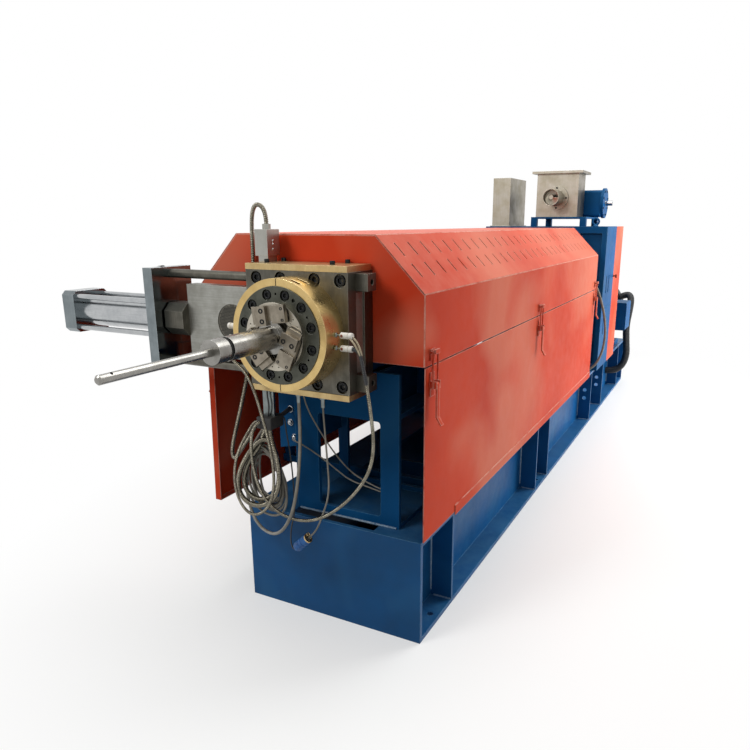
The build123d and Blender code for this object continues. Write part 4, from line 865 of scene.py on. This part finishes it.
shape = bmesh.new()
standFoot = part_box("base_frame")[1].z + standFront["lift"]
bead(shape, *[(x, standFront["y"], standFoot) for x in standFront["ends"]])
for side in (-1, 1):
    web, inner, edge = (side * baseRibs[part] for part in ("web", "inner", "edge"))
    for place in baseRibs["places"]:
        for y in (place - baseRibs["halfThick"], place + baseRibs["halfThick"]):
            bead(shape, (web, y, baseRibs["low"]), (web, y, baseRibs["high"]))
            bead(shape, (inner, y, baseRibs["floor"]), (edge, y, baseRibs["floor"]))
makePiece(shape, "weld_beads", "weldMetal")
print("weld beads made")

# Plain pale studio: the floor takes the machine's shadow, and further out it turns into the white background
studio = {"floor": "#F6F6F4", "bounce": "#A2A2A0", "halfSize": 30.0, "middle": (0, 2.1), "widen": 2.0,
          "near": 1.8, "far": 3.9, "lift": 0.3, "ambient": 0.36, "white": 1.0}
lamps = {
    "overheadSoftbox": {"place": (0.9, 2.2, 4.8), "aim": (0.3, 1.8, 0.9), "size": (2.0, 6.0), "power": 175},
    "sideSoftbox": {"place": (3.1, 4.6, 0.9), "aim": (0.3, 2.9, 0.4), "size": (2.4, 1.2), "power": 150,
                    "mirrored": False},
    "frontSoftbox": {"place": (-1.2, -2.3, 3.5), "aim": (0, 0.2, 1.3), "size": (1.2, 1.2), "power": 62},
}
floorMesh = bpy.data.meshes.new("studio_floor")
half = studio["halfSize"]
corners = [(-half, -half, 0), (half, -half, 0), (half, half, 0), (-half, half, 0)]
floorMesh.from_pydata(corners, [], [(0, 1, 2, 3)])
floor = bpy.data.objects.new("studio_floor", floorMesh)
scene.collection.objects.link(floor)
floor.location = (*studio["middle"], -0.0005)


def seenDirectly(tree):
    # 1 for what the camera, gloss or glass sees, 0 for light that the surface throws on the object
    rays = addNode(tree, "LightPath").outputs
    seen = rays["Is Camera Ray"]
    for way in ("Is Glossy Ray", "Is Transmission Ray"):
        seen = addNode(tree, "Math", {"operation": "MAXIMUM", 0: seen, 1: rays[way]})
    return seen


floorMaterial, floorTree = newMaterial("paleFloor", {}, {})[:2]
floorPlace = addNode(floorTree, "TexCoord").outputs["Object"]
directly = seenDirectly(floorTree)
floorColour = addNode(floorTree, "Mix", {"data_type": "RGBA", 0: directly, 6: studio["bounce"],
                                         7: studio["floor"]}).outputs[2]
matt = addNode(floorTree, "BsdfPrincipled", {"Base Color": floorColour, "Roughness": 0.85,
                                             "Specular IOR Level": 0.1})
oval = addNode(floorTree, "VectorMath", {"operation": "MULTIPLY", 0: floorPlace, 1: (studio["widen"], 1, 1)})
away = addNode(floorTree, "VectorMath", {"operation": "LENGTH", 0: oval}).outputs["Value"]
whiter = addNode(floorTree, "MapRange", {"Value": away, "From Min": studio["near"], "From Max": studio["far"],
                                         "To Min": studio["lift"]})
fade = addNode(floorTree, "Math", {"operation": "MULTIPLY", 0: whiter, 1: directly})
glow = addNode(floorTree, "Emission", {"Color": "#FFFFFF", "Strength": studio["white"]})
mixed = addNode(floorTree, "MixShader", {0: fade, 1: matt, 2: glow})
addNode(floorTree, "OutputMaterial", {"Surface": mixed})
floorMesh.materials.append(floorMaterial)

world = bpy.data.worlds.new("studioWorld")
scene.world = world
world.use_nodes = True
worldTree = world.node_tree
worldTree.nodes.clear()
level = addNode(worldTree, "MapRange", {"Value": seenDirectly(worldTree), "To Min": studio["ambient"],
                                        "To Max": studio["white"]})
background = addNode(worldTree, "Background", {"Color": "#FFFFFF", "Strength": level})
addNode(worldTree, "OutputWorld", {"Surface": background})
for name, settings in lamps.items():
    lampData = bpy.data.lights.new(name, "AREA")
    lampData.shape = "RECTANGLE"
    lampData.size, lampData.size_y = settings["size"]
    lampData.energy = settings["power"]
    lamp = bpy.data.objects.new(name, lampData)
    lamp.location = settings["place"]
    lamp.visible_glossy = settings.get("mirrored", True)
    toAim = Vector(settings["aim"]) - lamp.location
    lamp.rotation_euler = toAim.to_track_quat("-Z", "Y").to_euler()
    scene.collection.objects.link(lamp)
scene.view_settings.view_transform = "Standard"
print("studio made")
